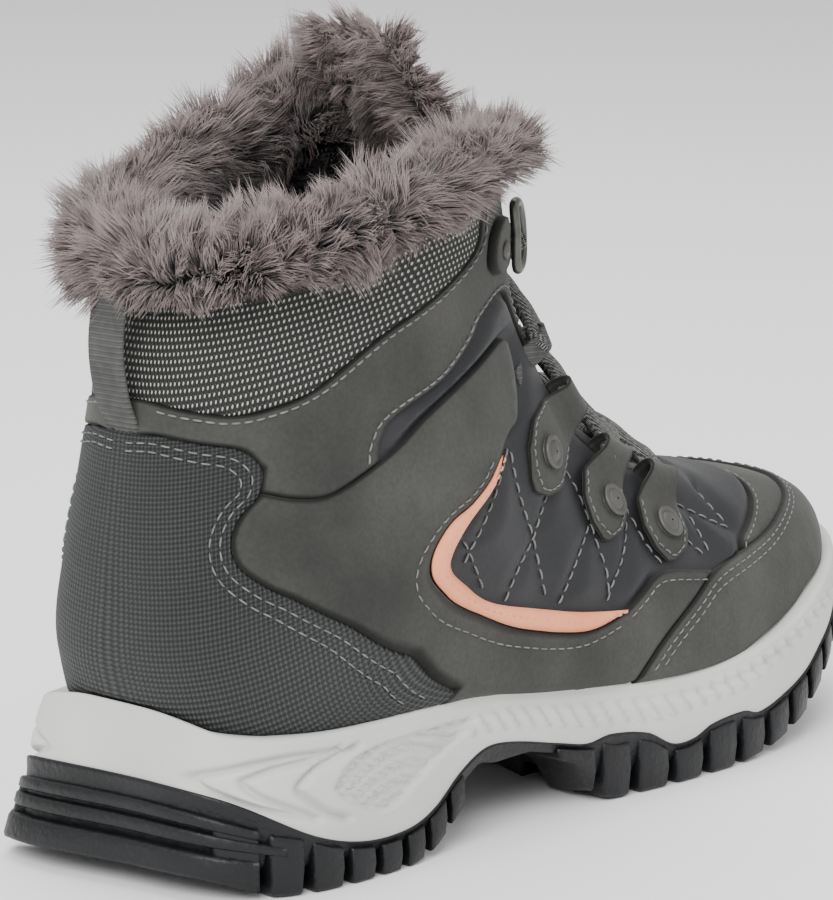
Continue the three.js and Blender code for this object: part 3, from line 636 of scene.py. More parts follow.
def sole_outline(side, count, inset=0.0):
    rows = np.stack([SOLE_PLAN[:, 0], -SOLE_PLAN[:, 1] if side < 0 else SOLE_PLAN[:, 2]], 1)
    before = np.array([rows[1, 0], -rows[1, 1]])
    after = np.array([rows[-2, 0], 2 * rows[-1, 1] - rows[-2, 1]])
    padded_rows = np.concatenate([[before], rows, [after]])
    s = 0.5 - 0.5 * np.cos(np.pi * np.linspace(0, 1, count))
    s = 0.35 * s + 0.65 * np.linspace(0, 1, count)
    xy = smooth_rows(padded_rows, 1 + s * (len(rows) - 1))
    middle = HEEL_X + HALF_LENGTH
    x = middle + (xy[:, 0] - middle) * (1 - inset / HALF_LENGTH)
    centre = sole_middle(x)
    return np.stack([x, centre + (xy[:, 1] - centre) * (1 - inset / HALF_WIDTH)], 1)


def sole_ring(inset, height, half=480):
    right = sole_outline(-1, half + 1, inset)
    left = sole_outline(1, half + 1, inset)[::-1][1:-1]
    xy = np.concatenate([right, left])
    z = height(xy[:, 0]) if callable(height) else np.full(len(xy), height)
    return np.column_stack([xy, z])


def heel_flare(points):
    """The heel spreads toward the floor, most at its inner rear corner."""
    p = np.asarray(points, float).copy()
    x, y, z = p[..., 0], p[..., 1], p[..., 2]
    low = np.clip((47 - z) / 45, 0, 1) ** 1.15
    rear = ease((46 - x) / 40)
    left = ease((y + 12) / 40)
    reach = np.clip(np.hypot((x - 40) / 36, y / 40), 0, 1) ** 2
    p[..., 0] = x - 8.0 * low * rear * left * reach
    p[..., 1] = y + 8.0 * low * rear * left * reach
    return p


def sole_cap(start, half, up):
    """Faces across the sole between its right and left side, for a ring that starts at this point."""
    faces = []
    n = 2 * half
    for i in range(half):
        r0, r1 = start + i, start + i + 1
        l0, l1 = start + (n - i) % n, start + (n - i - 1) % n
        face = [v for k, v in enumerate((r0, r1, l1, l0)) if v not in (r0, r1, l1, l0)[:k]]
        faces.append(face if up else face[::-1])
    return faces


def distance_to_lines(points, lines):
    """Shortest distance in the plane from each point to a set of open lines."""
    best = np.full(len(points), 1e9)
    for line in lines:
        line = np.asarray(line, float)
        for a, b in zip(line[:-1], line[1:]):
            d = b - a
            k = np.clip(((points - a) @ d) / max(d @ d, 1e-12), 0, 1)
            best = np.minimum(best, np.linalg.norm(points - a - k[:, None] * d, axis=1))
    return best


def inside(points, outline):
    """True where a point of the plane is inside a closed outline."""
    outline = np.asarray(outline, float)
    hit = np.zeros(len(points), bool)
    for a, b in zip(outline, np.roll(outline, -1, 0)):
        crosses = (a[1] > points[:, 1]) != (b[1] > points[:, 1])
        with np.errstate(divide="ignore", invalid="ignore"):
            x = a[0] + (points[:, 1] - a[1]) / (b[1] - a[1]) * (b[0] - a[0])
        hit ^= crosses & (points[:, 0] < x)
    return hit


# %% [markdown]
# The midsole is one foam moulding. Its wall carries shallow relief that the mould leaves: three
# sideways V lines at the heel, a leaf of small square dimples, and slanting ribs from the arch to
# the toe. The relief is cut into the wall itself, so it catches the light from any side.

# %% Midsole
HEEL_VEES = [
    smooth_line(line, 40) for line in (
        [(35, 33.5), (26, 33.8), (17.3, 33), (9.3, 31), (7.4, 28.7), (9.3, 26.2), (17.3, 22), (28.5, 19)],
        [(37.5, 34), (31, 32.6), (21.4, 31.6), (15.8, 29.8), (14.2, 28.3), (17.3, 25), (23.7, 21.5),
         (31, 18)],
        [(43, 33.5), (38.3, 32.5), (31, 30.5), (27.2, 28), (25.8, 25.8), (28.5, 23), (33.8, 19),
         (39.6, 16.5)])
]
LEAF = smooth_line([
    (35, 24.8), (38.5, 29), (43, 31.6), (52.5, 33), (67, 33), (84, 32), (80, 27.5), (67, 22.5),
    (58, 17.5), (51, 15.6), (45.8, 17.2), (38, 21.5), (35, 24.8)], 90)
RIB_TOP = np.array([
    (62, 33), (80, 32.4), (95, 31.8), (110, 29.8), (135, 26.4), (152, 24.8), (171, 25.5), (192, 27.4),
    (210, 31.5), (228, 36), (245, 40.5), (258, 44), (272, 46)])
RIB_LOW = np.array([
    (62, 32), (80, 27.6), (95, 26.6), (110, 24.2), (125, 21.4), (139, 19.6), (152, 18.6), (168, 19.4),
    (184, 20.6), (202, 25.5), (220, 30.2), (240, 35), (255, 39), (272, 42)])
VEE_DEPTH, VEE_WIDTH = 1.5, 0.85
DIMPLE_LONG, DIMPLE_HIGH = 2.6, 1.9
RIB_PITCH = 5.6
RELIEF = 1.45


def foam_relief(x, z):
    """Depth of the mould's relief at a place on the wall, in millimetres, outward positive."""
    where = np.stack([x, z], -1)
    flat = where.reshape(-1, 2)
    near = (flat[:, 0] < 95)
    depth = np.zeros(len(flat))
    vee = distance_to_lines(flat[near], HEEL_VEES)
    depth[near] -= VEE_DEPTH * np.exp(-((vee / VEE_WIDTH) ** 2))
    in_leaf = np.zeros(len(flat), bool)
    in_leaf[near] = inside(flat[near], LEAF)
    edge = np.full(len(flat), 9.0)
    edge[near] = distance_to_lines(flat[near], [LEAF])
    u = flat[:, 0] * 0.94 + flat[:, 1] * 0.34
    v = flat[:, 1] * 0.94 - flat[:, 0] * 0.34
    dimples = np.sin(u * 2 * np.pi / DIMPLE_LONG) * np.sin(v * 2 * np.pi / DIMPLE_HIGH)
    depth += np.where(in_leaf, -0.85 * ease(edge / 0.8) + 0.5 * dimples * ease(edge / 1.5), 0)
    low, top = look_up(RIB_LOW, flat[:, 0]), look_up(RIB_TOP, flat[:, 0])
    middle = np.clip((flat[:, 1] - low) / (top - low), -0.4, 1.4)
    band = ease((middle + 0.12) / 0.3) * ease((1.12 - middle) / 0.3) * ease((flat[:, 0] - 72) / 14)
    phase = ((flat[:, 0] + 4.5 * (middle - 0.5) - 1.5 * (middle - 0.5) ** 2) / RIB_PITCH) % 1.0
    rib = np.where(phase < 0.8, phase / 0.8, (1 - phase) / 0.2)
    depth += band * (1.15 * rib - 0.5)
    return RELIEF * depth.reshape(x.shape)


def midsole_piece(half=350):
    low = lambda x: look_up(RUBBER_TOP, x)
    lip = lambda x: look_up(LIP_TOP, x)
    loops = [sole_ring(7.5, lambda x: low(x) - 0.6, half), sole_ring(2.2, lambda x: low(x) - 0.6, half)]
    steps = 46
    for k in range(steps + 1):
        f = k / steps
        ring = sole_ring(0.0, lambda x: low(x) - 0.4 + (lip(x) - 1.4 - low(x) + 0.4) * f, half)
        x, z = ring[:, 0], ring[:, 2]
        swell = 1.0 * math.sin(math.pi * min(1, f * 1.05)) ** 0.8
        under_lip = -0.55 * np.exp(-(((lip(x) - 5.2 - z) / 1.1) ** 2)) * ease((x - 60) / 40)
        push = foam_relief(x, z) + swell * 0.7 - 0.7 + under_lip
        ahead = np.roll(ring, -1, 0) - np.roll(ring, 1, 0)
        out = np.stack([ahead[:, 1], -ahead[:, 0]], 1)
        out /= np.linalg.norm(out, axis=1)[:, None]
        ring[:, :2] += out * push[:, None]
        loops.append(ring)
    rounded_lip = ((0.75, 0.75), (1.25, 0.25), (1.9, 0.0), (3.5, 0.05), (6.5, 0.2), (7.6, 0.8), (8.2, 6.8))
    for inset, drop in rounded_lip:
        loops.append(sole_ring(inset, lambda x, d=drop: lip(x) - d, half))
    loops.append(sole_ring(16.0, lambda x: lip(x) - 7.0, half))
    points = np.concatenate(loops)
    n = 2 * half
    faces = [*grid_faces(len(loops), n, wrap=True), *sole_cap(0, half, False),
             *sole_cap((len(loops) - 1) * n, half, True)]
    return build("midsole_moulding", heel_flare(points), faces, FOAM, ["midsole"])


midsole_piece()

# %% [markdown]
# The tread is one rubber moulding too: a thin web under the foam, side lugs that hang down past its
# edge, chevrons along the middle, and a ribbed block wrapped round the back of the heel. Lugs are
# rounded blocks, wide where they leave the web and narrower where they meet the ground.

# %% Rounded blocks
def rounded_block(place, radius=0.2):
    """Block with soft edges; place(u, v, w) gives the point for each corner value from -1 to 1."""
    points, faces = [], []
    line = np.array([-1, -1 + radius * 0.6, -1 + radius, 0, 1 - radius, 1 - radius * 0.6, 1])
    m = len(line)
    key = {}
    for axis in range(3):
        for end in (-1, 1):
            index = np.zeros((m, m), int)
            for i, a in enumerate(line):
                for j, b in enumerate(line):
                    p = np.zeros(3)
                    p[axis], p[(axis + 1) % 3], p[(axis + 2) % 3] = end, a, b
                    tag = tuple(np.round(p, 6))
                    if tag not in key:
                        key[tag] = len(points)
                        core = np.clip(p, -1 + radius, 1 - radius)
                        d = p - core
                        points.append(core + radius * d / max(np.linalg.norm(d), 1e-9))
                    index[i, j] = key[tag]
            for i in range(m - 1):
                for j in range(m - 1):
                    f = [index[i, j], index[i + 1, j], index[i + 1, j + 1], index[i, j + 1]]
                    faces.append(f if end > 0 else f[::-1])
    p = np.array(points)
    return turned_out(np.array([place(*q) for q in p]), faces)


SIDE = {side: sole_outline(side, 900, 0.0) for side in (-1, 1)}


def sole_y(side, x, inset=0.0):
    line = SIDE[side]
    centre = sole_middle(x)
    y = np.interp(x, line[:, 0], line[:, 1])
    return float(centre + (y - centre) * (1 - inset / HALF_WIDTH))


def tread_z(x):
    return float(np.interp(x, TREAD[:, 0], TREAD[:, 1]))


def side_lug(side, start, end, reach, proud=0.7):
    top_of = lambda x: float(look_up(RUBBER_TOP, x)) - 1.2

    def place(u, v, w):
        x = (start + end) / 2 + u * (end - start) / 2 * (1 - 0.10 * (w < 0) * abs(w)) + (1 - v) * 1.6
        outer = sole_y(side, x, -proud + 0.9 * (w < 0) * abs(w) + 0.9 * ((1 + w) / 2))
        middle = float(sole_middle(x))
        y = middle + (outer - middle) * (1 - reach * (1 - v) / 2)
        low, high = tread_z(x), min(top_of(x), tread_z(x) + 15)
        return (x, y, low + (high - low) * (w + 1) / 2)

    return rounded_block(place)


def chevron(x, reach=14.0, thick=7.0):
    parts = []
    for side in (-1, 1):
        def place(u, v, w):
            y = float(sole_middle(x)) + side * (reach * (v + 1) / 2 - 0.6)
            px = x + u * thick / 2 * (1 - 0.08 * (w < 0)) - 5.5 * (v + 1) / 2
            low = tread_z(px)
            return (px, y, low + 4 * (w + 1))
        parts.append(rounded_block(place))
    return parts


# %% Tread
SIDE_LUGS = [
    # start, end, reach toward the middle as a share of the half width
    (9.5, 17.5, 0.42), (19.5, 27.5, 0.5), (29.5, 38.5, 0.42), (40.5, 48.5, 0.5), (50.5, 57.5, 0.42),
    (59.5, 66, 0.5), (68, 74.5, 0.42), (76, 81.5, 0.4), (117, 131, 0.42), (133, 143, 0.5),
    (145.5, 156.5, 0.42), (159, 169.5, 0.5), (172, 183, 0.42), (185.5, 195.5, 0.5), (198, 207.5, 0.42),
    (210, 219, 0.5), (221.5, 230, 0.42), (232.5, 240.5, 0.45), (243, 250.5, 0.4), (253, 259.5, 0.35),
]
CHEVRONS = (30, 48, 146, 166, 186, 206, 226)


def tread_piece(half=260):
    def floor(x):
        x = np.asarray(x, float)
        depth = 5.5 * np.clip((x - 14) / 4, 0, 1) * np.clip(np.abs(x - 104) / 22 - 0.35, 0, 1)
        return np.minimum(np.interp(x, TREAD[:, 0], TREAD[:, 1]) + depth, look_up(RUBBER_TOP, x) - 3.2)

    top = lambda x: look_up(RUBBER_TOP, x)
    loops = [sole_ring(20, floor, half), sole_ring(6.5, floor, half),
             sole_ring(3.4, lambda x: floor(x) + 0.3, half)]
    for f, inset in ((0.15, 2.4), (0.35, 1.7), (0.6, 1.2), (0.85, 0.55), (0.95, 0.1)):
        loops.append(sole_ring(inset, lambda x, f=f: floor(x) + (top(x) - floor(x)) * f, half))
    loops += [sole_ring(0.0, lambda x: top(x) - 0.25, half), sole_ring(0.5, lambda x: top(x) + 0.15, half),
              sole_ring(3.0, lambda x: top(x) - 0.2, half), sole_ring(20, lambda x: top(x) - 0.2, half)]
    n = 2 * half
    web = (np.concatenate(loops), [*grid_faces(len(loops), n, wrap=True), *sole_cap(0, half, False),
                                   *sole_cap((len(loops) - 1) * n, half, True)])
    parts = [web]
    for start, end, reach in SIDE_LUGS:
        parts += [side_lug(-1, start, end, reach), side_lug(1, start, end, reach)]
    for x in CHEVRONS:
        parts += chevron(x)
    # block round the back, with two long ledges over a deeper foot
    back = sole_outline(-1, 900, 0.0)
    back = back[back[:, 0] < 34][::-1]
    round_back = np.concatenate([back, sole_outline(1, 900, 0.0)[1:]])
    round_back = round_back[round_back[:, 0] < 34]
    round_back = round_back[np.argsort(np.arctan2(round_back[:, 1], 40 - round_back[:, 0]))]
    step = np.concatenate([[0], np.cumsum(np.linalg.norm(np.diff(round_back, axis=0), axis=1))])

    def band(first, last, z_low, z_high, proud, deep=6.0, radius=0.35, count=44):
        where = np.linspace(first, last, count)
        line = np.stack([np.interp(where, step, round_back[:, k]) for k in (0, 1)], 1)
        ahead = np.gradient(line, axis=0)
        out = np.stack([-ahead[:, 1], ahead[:, 0]], 1)
        out /= np.linalg.norm(out, axis=1)[:, None]
        if (out[count // 2, 0]) > 0:
            out = -out
        soft = proud - radius * 1.2
        section = [(soft, 0), (proud, 0.16), (proud, 0.84), (soft, 1), (-deep, 1), (-deep, 0)]
        grid = []
        for k, (p, o) in enumerate(zip(line, out)):
            tail = min(1.0, 0.35 + 0.65 * min(k, count - 1 - k) / 3)
            zl, zh = z_low(p[0]), z_high(p[0])
            grid.append([(*(p + o * (a * tail if a > 0 else a)), zl + (zh - zl) * b) for a, b in section])
        grid = np.array(grid)
        m = len(section)
        last_ring = [(count - 1) * m + j for j in range(m)]
        faces = [*grid_faces(count, m, wrap=True), list(range(m)), last_ring[::-1]]
        return turned_out(grid.reshape(-1, 3), faces)

    total = step[-1]
    ledges = (
        (0.16, tread_z, lambda x: 13.0 - 0.2 * x, 0.9, 9.0),
        (0.10, lambda x: 15.2 - 0.22 * x, lambda x: 19.0 - 0.3 * x, 0.5, 5.0),
        (0.16, lambda x: 20.4 - 0.34 * x, lambda x: 24.0 - 0.42 * x, 0.35, 5.0))
    for share, foot, head, proud, deep in ledges:
        parts.append(band(total * share, total * (1 - share), foot, head, proud, deep))
    points, faces = join(parts)
    return build("tread_moulding", heel_flare(points), faces, RUBBER, ["outsole"])


tread_piece()
insole = frame["nodes"]["insole"]
insole.data.materials.clear()
insole.data.materials.append(FELT)

# %% [markdown]
# ## Upper
# Everything on the upper is laid out flat on the last: how far along (t) and how far round (degrees
# from the front). Lines are drawn for the right side and mirrored for the left. The quilting is a
# net of stitched lines with the nylon puffing up between them.

# %% Lines drawn on the upper
COUNTER_TOP = [(0.149, 165), (0.161, 147), (0.172, 135), (0.192, 128)]
COUNTER_FRONT = [
    (0.192, 128), (0.212, 129), (0.224, 135), (0.24, 138), (0.258, 136), (0.278, 128), (0.30, 117),
    (0.336, 103), (0.377, 92), (0.398, 90), (0.436, 91)]
WEB_EDGE = [
    (0, 50), (0.029, 59.5), (0.066, 64.4), (0.096, 80), (0.114, 95.4), (0.140, 113), (0.144, 128),
    (0.141, 139), (0.133, 150), (0.12, 169), (0.118, 180)]
QUARTER_SEAM = [
    (0.211, 128), (0.226, 116.6), (0.234, 106.7), (0.229, 93), (0.215, 83), (0.204, 67.9), (0.196, 54.8),
    (0.197, 50)]
CRESCENT = [
    (0.229, 93.4), (0.219, 93.4), (0.210, 92.7), (0.198, 89.8), (0.193, 79.1), (0.187, 73.3), (0.169, 64.8),
    (0.154, 60.5), (0.145, 50), (0.158, 41), (0.20, 36), (0.246, 33)]
QUARTER_FRONT = [
    (0.197, 50), (0.206, 47.5), (0.222, 47), (0.247, 47.9), (0.27, 50), (0.288, 53.3), (0.291, 58),
    (0.303, 62)]
PIPING_OUT = [
    (0.303, 62), (0.314, 67), (0.319, 73), (0.319, 78.8), (0.330, 83.5), (0.346, 84.6), (0.369, 82),
    (0.405, 77.8), (0.447, 77.3), (0.478, 76.8), (0.504, 75.6), (0.526, 70.8)]
PIPING_IN = [
    (0.303, 62), (0.3165, 65), (0.3235, 68.5), (0.3305, 75.0), (0.342, 79.8), (0.354, 80.6), (0.380, 77.4),
    (0.427, 73.6), (0.473, 72.2), (0.513, 71.1), (0.526, 70.8)]
GUARD_TOP = [(0.526, 70.8), (0.534, 66), (0.542, 61.4), (0.559, 59.4), (0.607, 60.1)]
TOE_SEAM = [
    (0.84, 0), (0.835, 16), (0.785, 36), (0.722, 48), (0.656, 54), (0.611, 60), (0.591, 68), (0.572, 79),
    (0.565, 92), (0.56, 106)]
VAMP_EDGE = [(0.735, 0), (0.73, 20), (0.714, 32), (0.69, 40), (0.667, 46), (0.652, 50), (0.648, 54.4)]
QUILT = [
    [(0.302, 58.1), (0.33, 65.6), (0.348, 71.9), (0.355, 75.3), (0.363, 77.8)],
    [(0.306, 57.8), (0.339, 59.2), (0.375, 59.5), (0.398, 60.6), (0.426, 65.1), (0.457, 72.5)],
    [(0.38, 51), (0.39, 56.5), (0.398, 60.6), (0.405, 66.7), (0.417, 73.8)],
    [(0.352, 41.2), (0.379, 42.1), (0.414, 44.2), (0.446, 50.3), (0.465, 55), (0.489, 61.1), (0.51, 70.1)],
    [(0.447, 50.8), (0.453, 59.3), (0.46, 68.1), (0.463, 72.2)],
    [(0.471, 38.5), (0.489, 45.3), (0.5, 56.5), (0.502, 65.1), (0.507, 70.9)],
    [(0.479, 41.2), (0.503, 46.6), (0.52, 51.3), (0.546, 57.3), (0.554, 58.8)],
    [(0.546, 34), (0.582, 38), (0.641, 45.4)],
    [(0.615, 27.6), (0.625, 36.5), (0.642, 45.8)],
    [(0.58, 39.7), (0.595, 49), (0.611, 58.2)],
    [(0.568, 48.5), (0.591, 53.5), (0.609, 57.9)],
    [(0.326, 77.8), (0.355, 75.3), (0.382, 74.4), (0.403, 75.2)],
]
THROAT = np.array([(-0.2, 30), (0, 30), (0.1, 29), (0.3, 29), (0.5, 25), (0.56, 19), (0.6, 11), (0.63, 2)])
# rough millimetres of pattern for one whole t and for one degree
PER_T, PER_DEGREE = 330.0, 0.62


def drawn(*segments, spacing=1.1):
    """Closed outline through several smooth segments, as (t, degrees), sharp only where they meet."""
    line = []
    for segment in segments:
        flat = np.array(segment, float) * (PER_T, PER_DEGREE)
        length = np.linalg.norm(np.diff(flat, axis=0), axis=1).sum()
        dense = smooth_line(segment, max(3, int(length / spacing * 4)))
        scaled = dense * (PER_T, PER_DEGREE)
        run = np.concatenate([[0], np.cumsum(np.linalg.norm(np.diff(scaled, axis=0), axis=1))])
        where = np.linspace(0, run[-1], max(2, int(run[-1] / spacing) + 1))
        even = np.stack([np.interp(where, run, dense[:, 0]), np.interp(where, run, dense[:, 1])], 1)
        line.append(even[:-1])
    return np.concatenate(line)


def mirrored(line):
    return [(t, -phi) for t, phi in line]


def under_lip(t, margin=4.0):
    """Degrees round the last, on the right side, where its skin is a little below the midsole's lip."""
    low, high = 0.0, 165.0
    for _ in range(26):
        middle = (low + high) / 2
        p = last_point(t, -middle)
        if p[2] > look_up(LIP_TOP, p[0]) - margin:
            low = middle
        else:
            high = middle
    return low


def lip_row(phi, margin=5.0):
    """How far along the last its skin drops below the lip, for a place round the heel."""
    low, high = 0.2, 0.55
    for _ in range(26):
        middle = (low + high) / 2
        p = last_point(middle, -phi)
        if p[2] > look_up(LIP_TOP, p[0]) - margin:
            low = middle
        else:
            high = middle
    return low


print("lip at mid foot, degrees:", round(under_lip(0.5), 1))

# %% [markdown]
# The shell under all the panels is the nylon with its wadding and lining. It is one closed skin with
# an outer and an inner face, open down the throat. Between the stitched lines the nylon rises; at the
# lines, and under the edges of the leather, it is pulled down.

# %% Nylon shell
PUFF = 2.5


def shell_piece():
    t = np.concatenate([
        np.linspace(0, 0.14, 8)[:-1], np.linspace(0.14, 0.74, 142)[:-1], np.linspace(0.74, 0.985, 12)])
    side = np.concatenate([np.linspace(0, 1, 48)[:-1] * 0.215, 0.215 + np.linspace(0, 1, 10)[:-1] * 0.285])
    around = np.concatenate([side, [0.5], 1 - side[::-1]])
    edge = np.interp(t, THROAT[:, 0], THROAT[:, 1])
    first_ring = int(np.searchsorted(t, 0.628))
    edge = np.where(np.arange(len(t)) >= first_ring, 0.9, np.maximum(edge, 0.9))
    phi = edge[:, None] + (360 - 2 * edge[:, None]) * around[None, :]
    tt = np.broadcast_to(t[:, None], phi.shape)
    signed = np.where(phi > 180, 360 - phi, phi)
    flat = np.stack([tt.ravel() * PER_T, signed.ravel() * PER_DEGREE], 1)
    scale = (PER_T, PER_DEGREE)
    front_field = np.array(
        [(0.2, 29)] + QUARTER_FRONT + PIPING_IN + GUARD_TOP + [(0.611, 60)] + VAMP_EDGE[::-1]
        + [(0.735, -4), (0.6, -4), (0.56, 19), (0.5, 25), (0.3, 29)])
    top_field = np.array(
        [(t, p + 0.5) for t, p in CRESCENT] + QUARTER_FRONT[:4][::-1] + QUARTER_SEAM[3:][::-1])
    quilted = inside(flat, front_field * scale) | inside(flat, top_field * scale)
    lines = [smooth_line(q, 20) * scale for q in QUILT]
    edges = (VAMP_EDGE, PIPING_IN, GUARD_TOP, QUARTER_FRONT, CRESCENT, QUARTER_SEAM)
    borders = [smooth_line(q, 24) * scale for q in edges] + [THROAT[:-1] * scale]
    from_stitch = np.zeros(len(flat))
    from_border = np.zeros(len(flat))
    from_stitch[quilted] = distance_to_lines(flat[quilted], lines)
    from_border[quilted] = distance_to_lines(flat[quilted], borders)
    puff = (PUFF * (1 - np.exp(-((from_stitch / 3.4) ** 1.3)))
            * (1 - np.exp(-((from_border / 2.6) ** 2))))
    outer_depth = (-0.75 + np.where(quilted, puff, 0)).reshape(phi.shape)
    outer = tuck(skin(tt, phi, outer_depth), tt, phi, 4.0)
    inner = tuck(skin(tt, phi, -3.2), tt, phi, 3.0)
    # keep the skin that passes the lip inside the sole
    for layer in (outer, inner):
        lip = look_up(LIP_TOP, layer[..., 0]) - 6.2
        layer[..., 2] = np.maximum(layer[..., 2], lip)
    rows, cols = phi.shape
    k = rows * cols
    faces = [*grid_faces(rows, cols, start=k).tolist(), *grid_faces(rows, cols)[:, ::-1].tolist()]
    for i in range(first_ring, rows - 1):
        a, b = i * cols + cols - 1, i * cols
        faces.append([k + a, k + b, k + b + cols, k + a + cols])
        faces.append([a, a + cols, b + cols, b])
    slit = [*[i * cols for i in range(first_ring, -1, -1)], *range(1, cols),
            *[i * cols + cols - 1 for i in range(1, first_ring + 1)], first_ring * cols]
    for a, b in zip(slit[:-1], slit[1:]):
        faces.append([a, b, b + k, a + k][::-1])
    last = [(rows - 1) * cols + j for j in range(cols)]
    for a, b in zip(last, last[1:] + last[:1]):
        faces.append([a, b, b + k, a + k])
    points = np.concatenate([inner.reshape(-1, 3), outer.reshape(-1, 3)])
    return build("nylon_shell", points, faces, NYLON, ["upper"], fill=0.5)


shell_piece()

# %% [markdown]
# Each panel is cut from its outline, as leather is cut from a pattern. The outline is filled with a
# net of small triangles, wrapped onto the last, and given a back face and rounded edges so that it
# reads as leather of real thickness with a shadow under its edge.

# %% Panels
def panel(name, outline, low, high, material, nodes=(), edge=1.0, spacing=1.5, rise=None):
    """Panel between two heights over the last. Its edge is rounded over the given width, and rise adds
    unevenness to its face."""
    outline = np.asarray(outline, float)
    scale = np.array([PER_T, PER_DEGREE])
    rim = outline * scale
    n = len(rim)
    area = 0.5 * np.sum(rim[:, 0] * np.roll(rim[:, 1], -1) - np.roll(rim[:, 0], -1) * rim[:, 1])
    ahead = np.roll(rim, -1, 0) - np.roll(rim, 1, 0)
    inward = np.stack([-ahead[:, 1], ahead[:, 0]], 1) * (1 if area > 0 else -1)
    inward /= np.linalg.norm(inward, axis=1)[:, None] + 1e-12
    xs = np.arange(rim[:, 0].min(), rim[:, 0].max(), spacing)
    ys = np.arange(rim[:, 1].min(), rim[:, 1].max(), spacing * 0.866)
    gx, gy = np.meshgrid(xs, ys)
    gx = gx + (np.arange(len(ys)) % 2)[:, None] * spacing / 2
    inner = np.stack([gx.ravel(), gy.ravel()], 1)
    inner = inner[inside(inner, rim)]
    inner = inner[distance_to_lines(inner, [np.concatenate([rim, rim[:1]])]) > edge * 0.55 + spacing * 0.45]
    soft = rim + inward * edge * 0.5
    soft = soft[inside(soft, rim)]
    soft = soft[distance_to_lines(soft, [np.concatenate([rim, rim[:1]])]) > edge * 0.42]
    flat = np.concatenate([rim, soft, inner])
    edges = [(i, (i + 1) % n) for i in range(n)]
    made = delaunay_2d_cdt([Vector(p) for p in flat.tolist()], edges, [], 1, 1e-5)
    flat = np.array([tuple(v) for v in made[0]])
    triangles = np.array([list(f) for f in made[2]])
    middle = flat[triangles].mean(1)
    triangles = triangles[inside(middle, rim)]
    away = distance_to_lines(flat, [np.concatenate([rim, rim[:1]])])
    round_edge = np.sqrt(np.clip(1 - (1 - np.clip(away / edge, 0, 1)) ** 2, 0, 1))
    where = flat / scale
    top = low + (high - low) * (0.35 + 0.65 * round_edge)
    if rise is not None:
        top = top + rise(where, away)
    upper_points = tuck(skin(where[:, 0], where[:, 1], top), where[:, 0], where[:, 1])
    lower_points = tuck(skin(where[:, 0], where[:, 1], np.full(len(where), low)), where[:, 0], where[:, 1])
    k = len(flat)
    a, b, c = flat[triangles[:, 0]], flat[triangles[:, 1]], flat[triangles[:, 2]]
    turn = (b - a)[:, 0] * (c - a)[:, 1] - (b - a)[:, 1] * (c - a)[:, 0]
    triangles = np.where(turn[:, None] > 0, triangles, triangles[:, ::-1])
    used = {}
    for f in triangles.tolist():
        for u, v in ((f[0], f[1]), (f[1], f[2]), (f[2], f[0])):
            used[(u, v)] = True
    rim_edges = [(u, v) for (u, v) in used if (v, u) not in used]
    faces = [*triangles.tolist(), *(triangles[:, ::-1] + k).tolist(),
             *[[u, u + k, v + k, v] for u, v in rim_edges]]
    points = np.concatenate([upper_points, lower_points])
    lay = np.column_stack([flat, away])
    return build(name, points, faces, material, nodes, lay=np.concatenate([lay, lay * (1, 1, 0)]))


def lip_line(t0, t1, count=14):
    """Bottom edge of a panel along the midsole's lip, on the right side, as positive degrees."""
    return [(t, under_lip(t)) for t in np.linspace(t0, t1, count)]


def soften(where, away):
    """Slight unevenness of leather pulled over the last, at places on it and their distance from the edge."""
    p = np.stack([where[:, 0] * PER_T, where[:, 1] * PER_DEGREE, np.zeros(len(where))], 1)
    return 0.18 * waves(p, 46.0, 5) + 0.05 * waves(p, 11.0, 9)


def rim_rise(phi):
    """How far above the shell's rim the collar stands, larger toward the front corners."""
    return 0.004 + 0.040 * ease((np.abs(180 - np.asarray(phi, float)) - 75) / 50)


web_top = np.linspace(50, 310, 60)
web_front = (-rim_rise(50), 50)
web_outline = drawn(list(zip(-rim_rise(web_top), web_top))[::-1], [web_front] + WEB_EDGE,
                    [(t, 360 - p) for t, p in WEB_EDGE[::-1]] + [(web_front[0], 310)])
collar_band = panel("collar_band", web_outline, -1.3, 0.2, WEB, edge=0.6, spacing=2.0)

for side, letter in ((-1, "right"), (1, "left")):
    across = (lambda line: line) if side > 0 else mirrored
    top_quarter = drawn(
        across([(-0.044, 50)] + WEB_EDGE[:-1] + [(0.118, 178)]), across([(0.118, 178), (0.150, 178)]),
        across([(0.150, 178)] + COUNTER_TOP), across(COUNTER_FRONT[:2]), across(QUARTER_SEAM[:4]),
        across(CRESCENT), across([(0.246, 33), (0.24, 30.5), (0.1, 29.8), (-0.044, 30.5)]),
        across([(-0.044, 30.5), (-0.044, 50)]))
    panel(f"top_quarter_{letter}", top_quarter, -1.3, 0.6, NUBUCK, rise=soften)
    lip_back = lip_line(0.436, 0.60)
    main_quarter = drawn(
        across(QUARTER_FRONT), across(PIPING_OUT), across(GUARD_TOP),
        across([(0.607, 60.1)] + TOE_SEAM[6:] + [(0.562, 118)]),
        across([(0.562, 118)] + [(t, p + 3) for t, p in lip_back[::-1] if t < 0.55] + [(0.436, 112)]),
        across([(0.436, 112), (0.436, 91)]), across(COUNTER_FRONT[::-1][:-1]),
        across(COUNTER_FRONT[1:2] + QUARTER_SEAM))
    panel(f"main_quarter_{letter}", main_quarter, -1.2, 1.0, NUBUCK, rise=soften)
print("leather quarters made")

# %% [markdown]
# The heel guard, toe cap, vamp and coral piping are panels too. The guard is woven and lies a little
# lower than the leather. The piping is a narrow crescent with a high round crown.

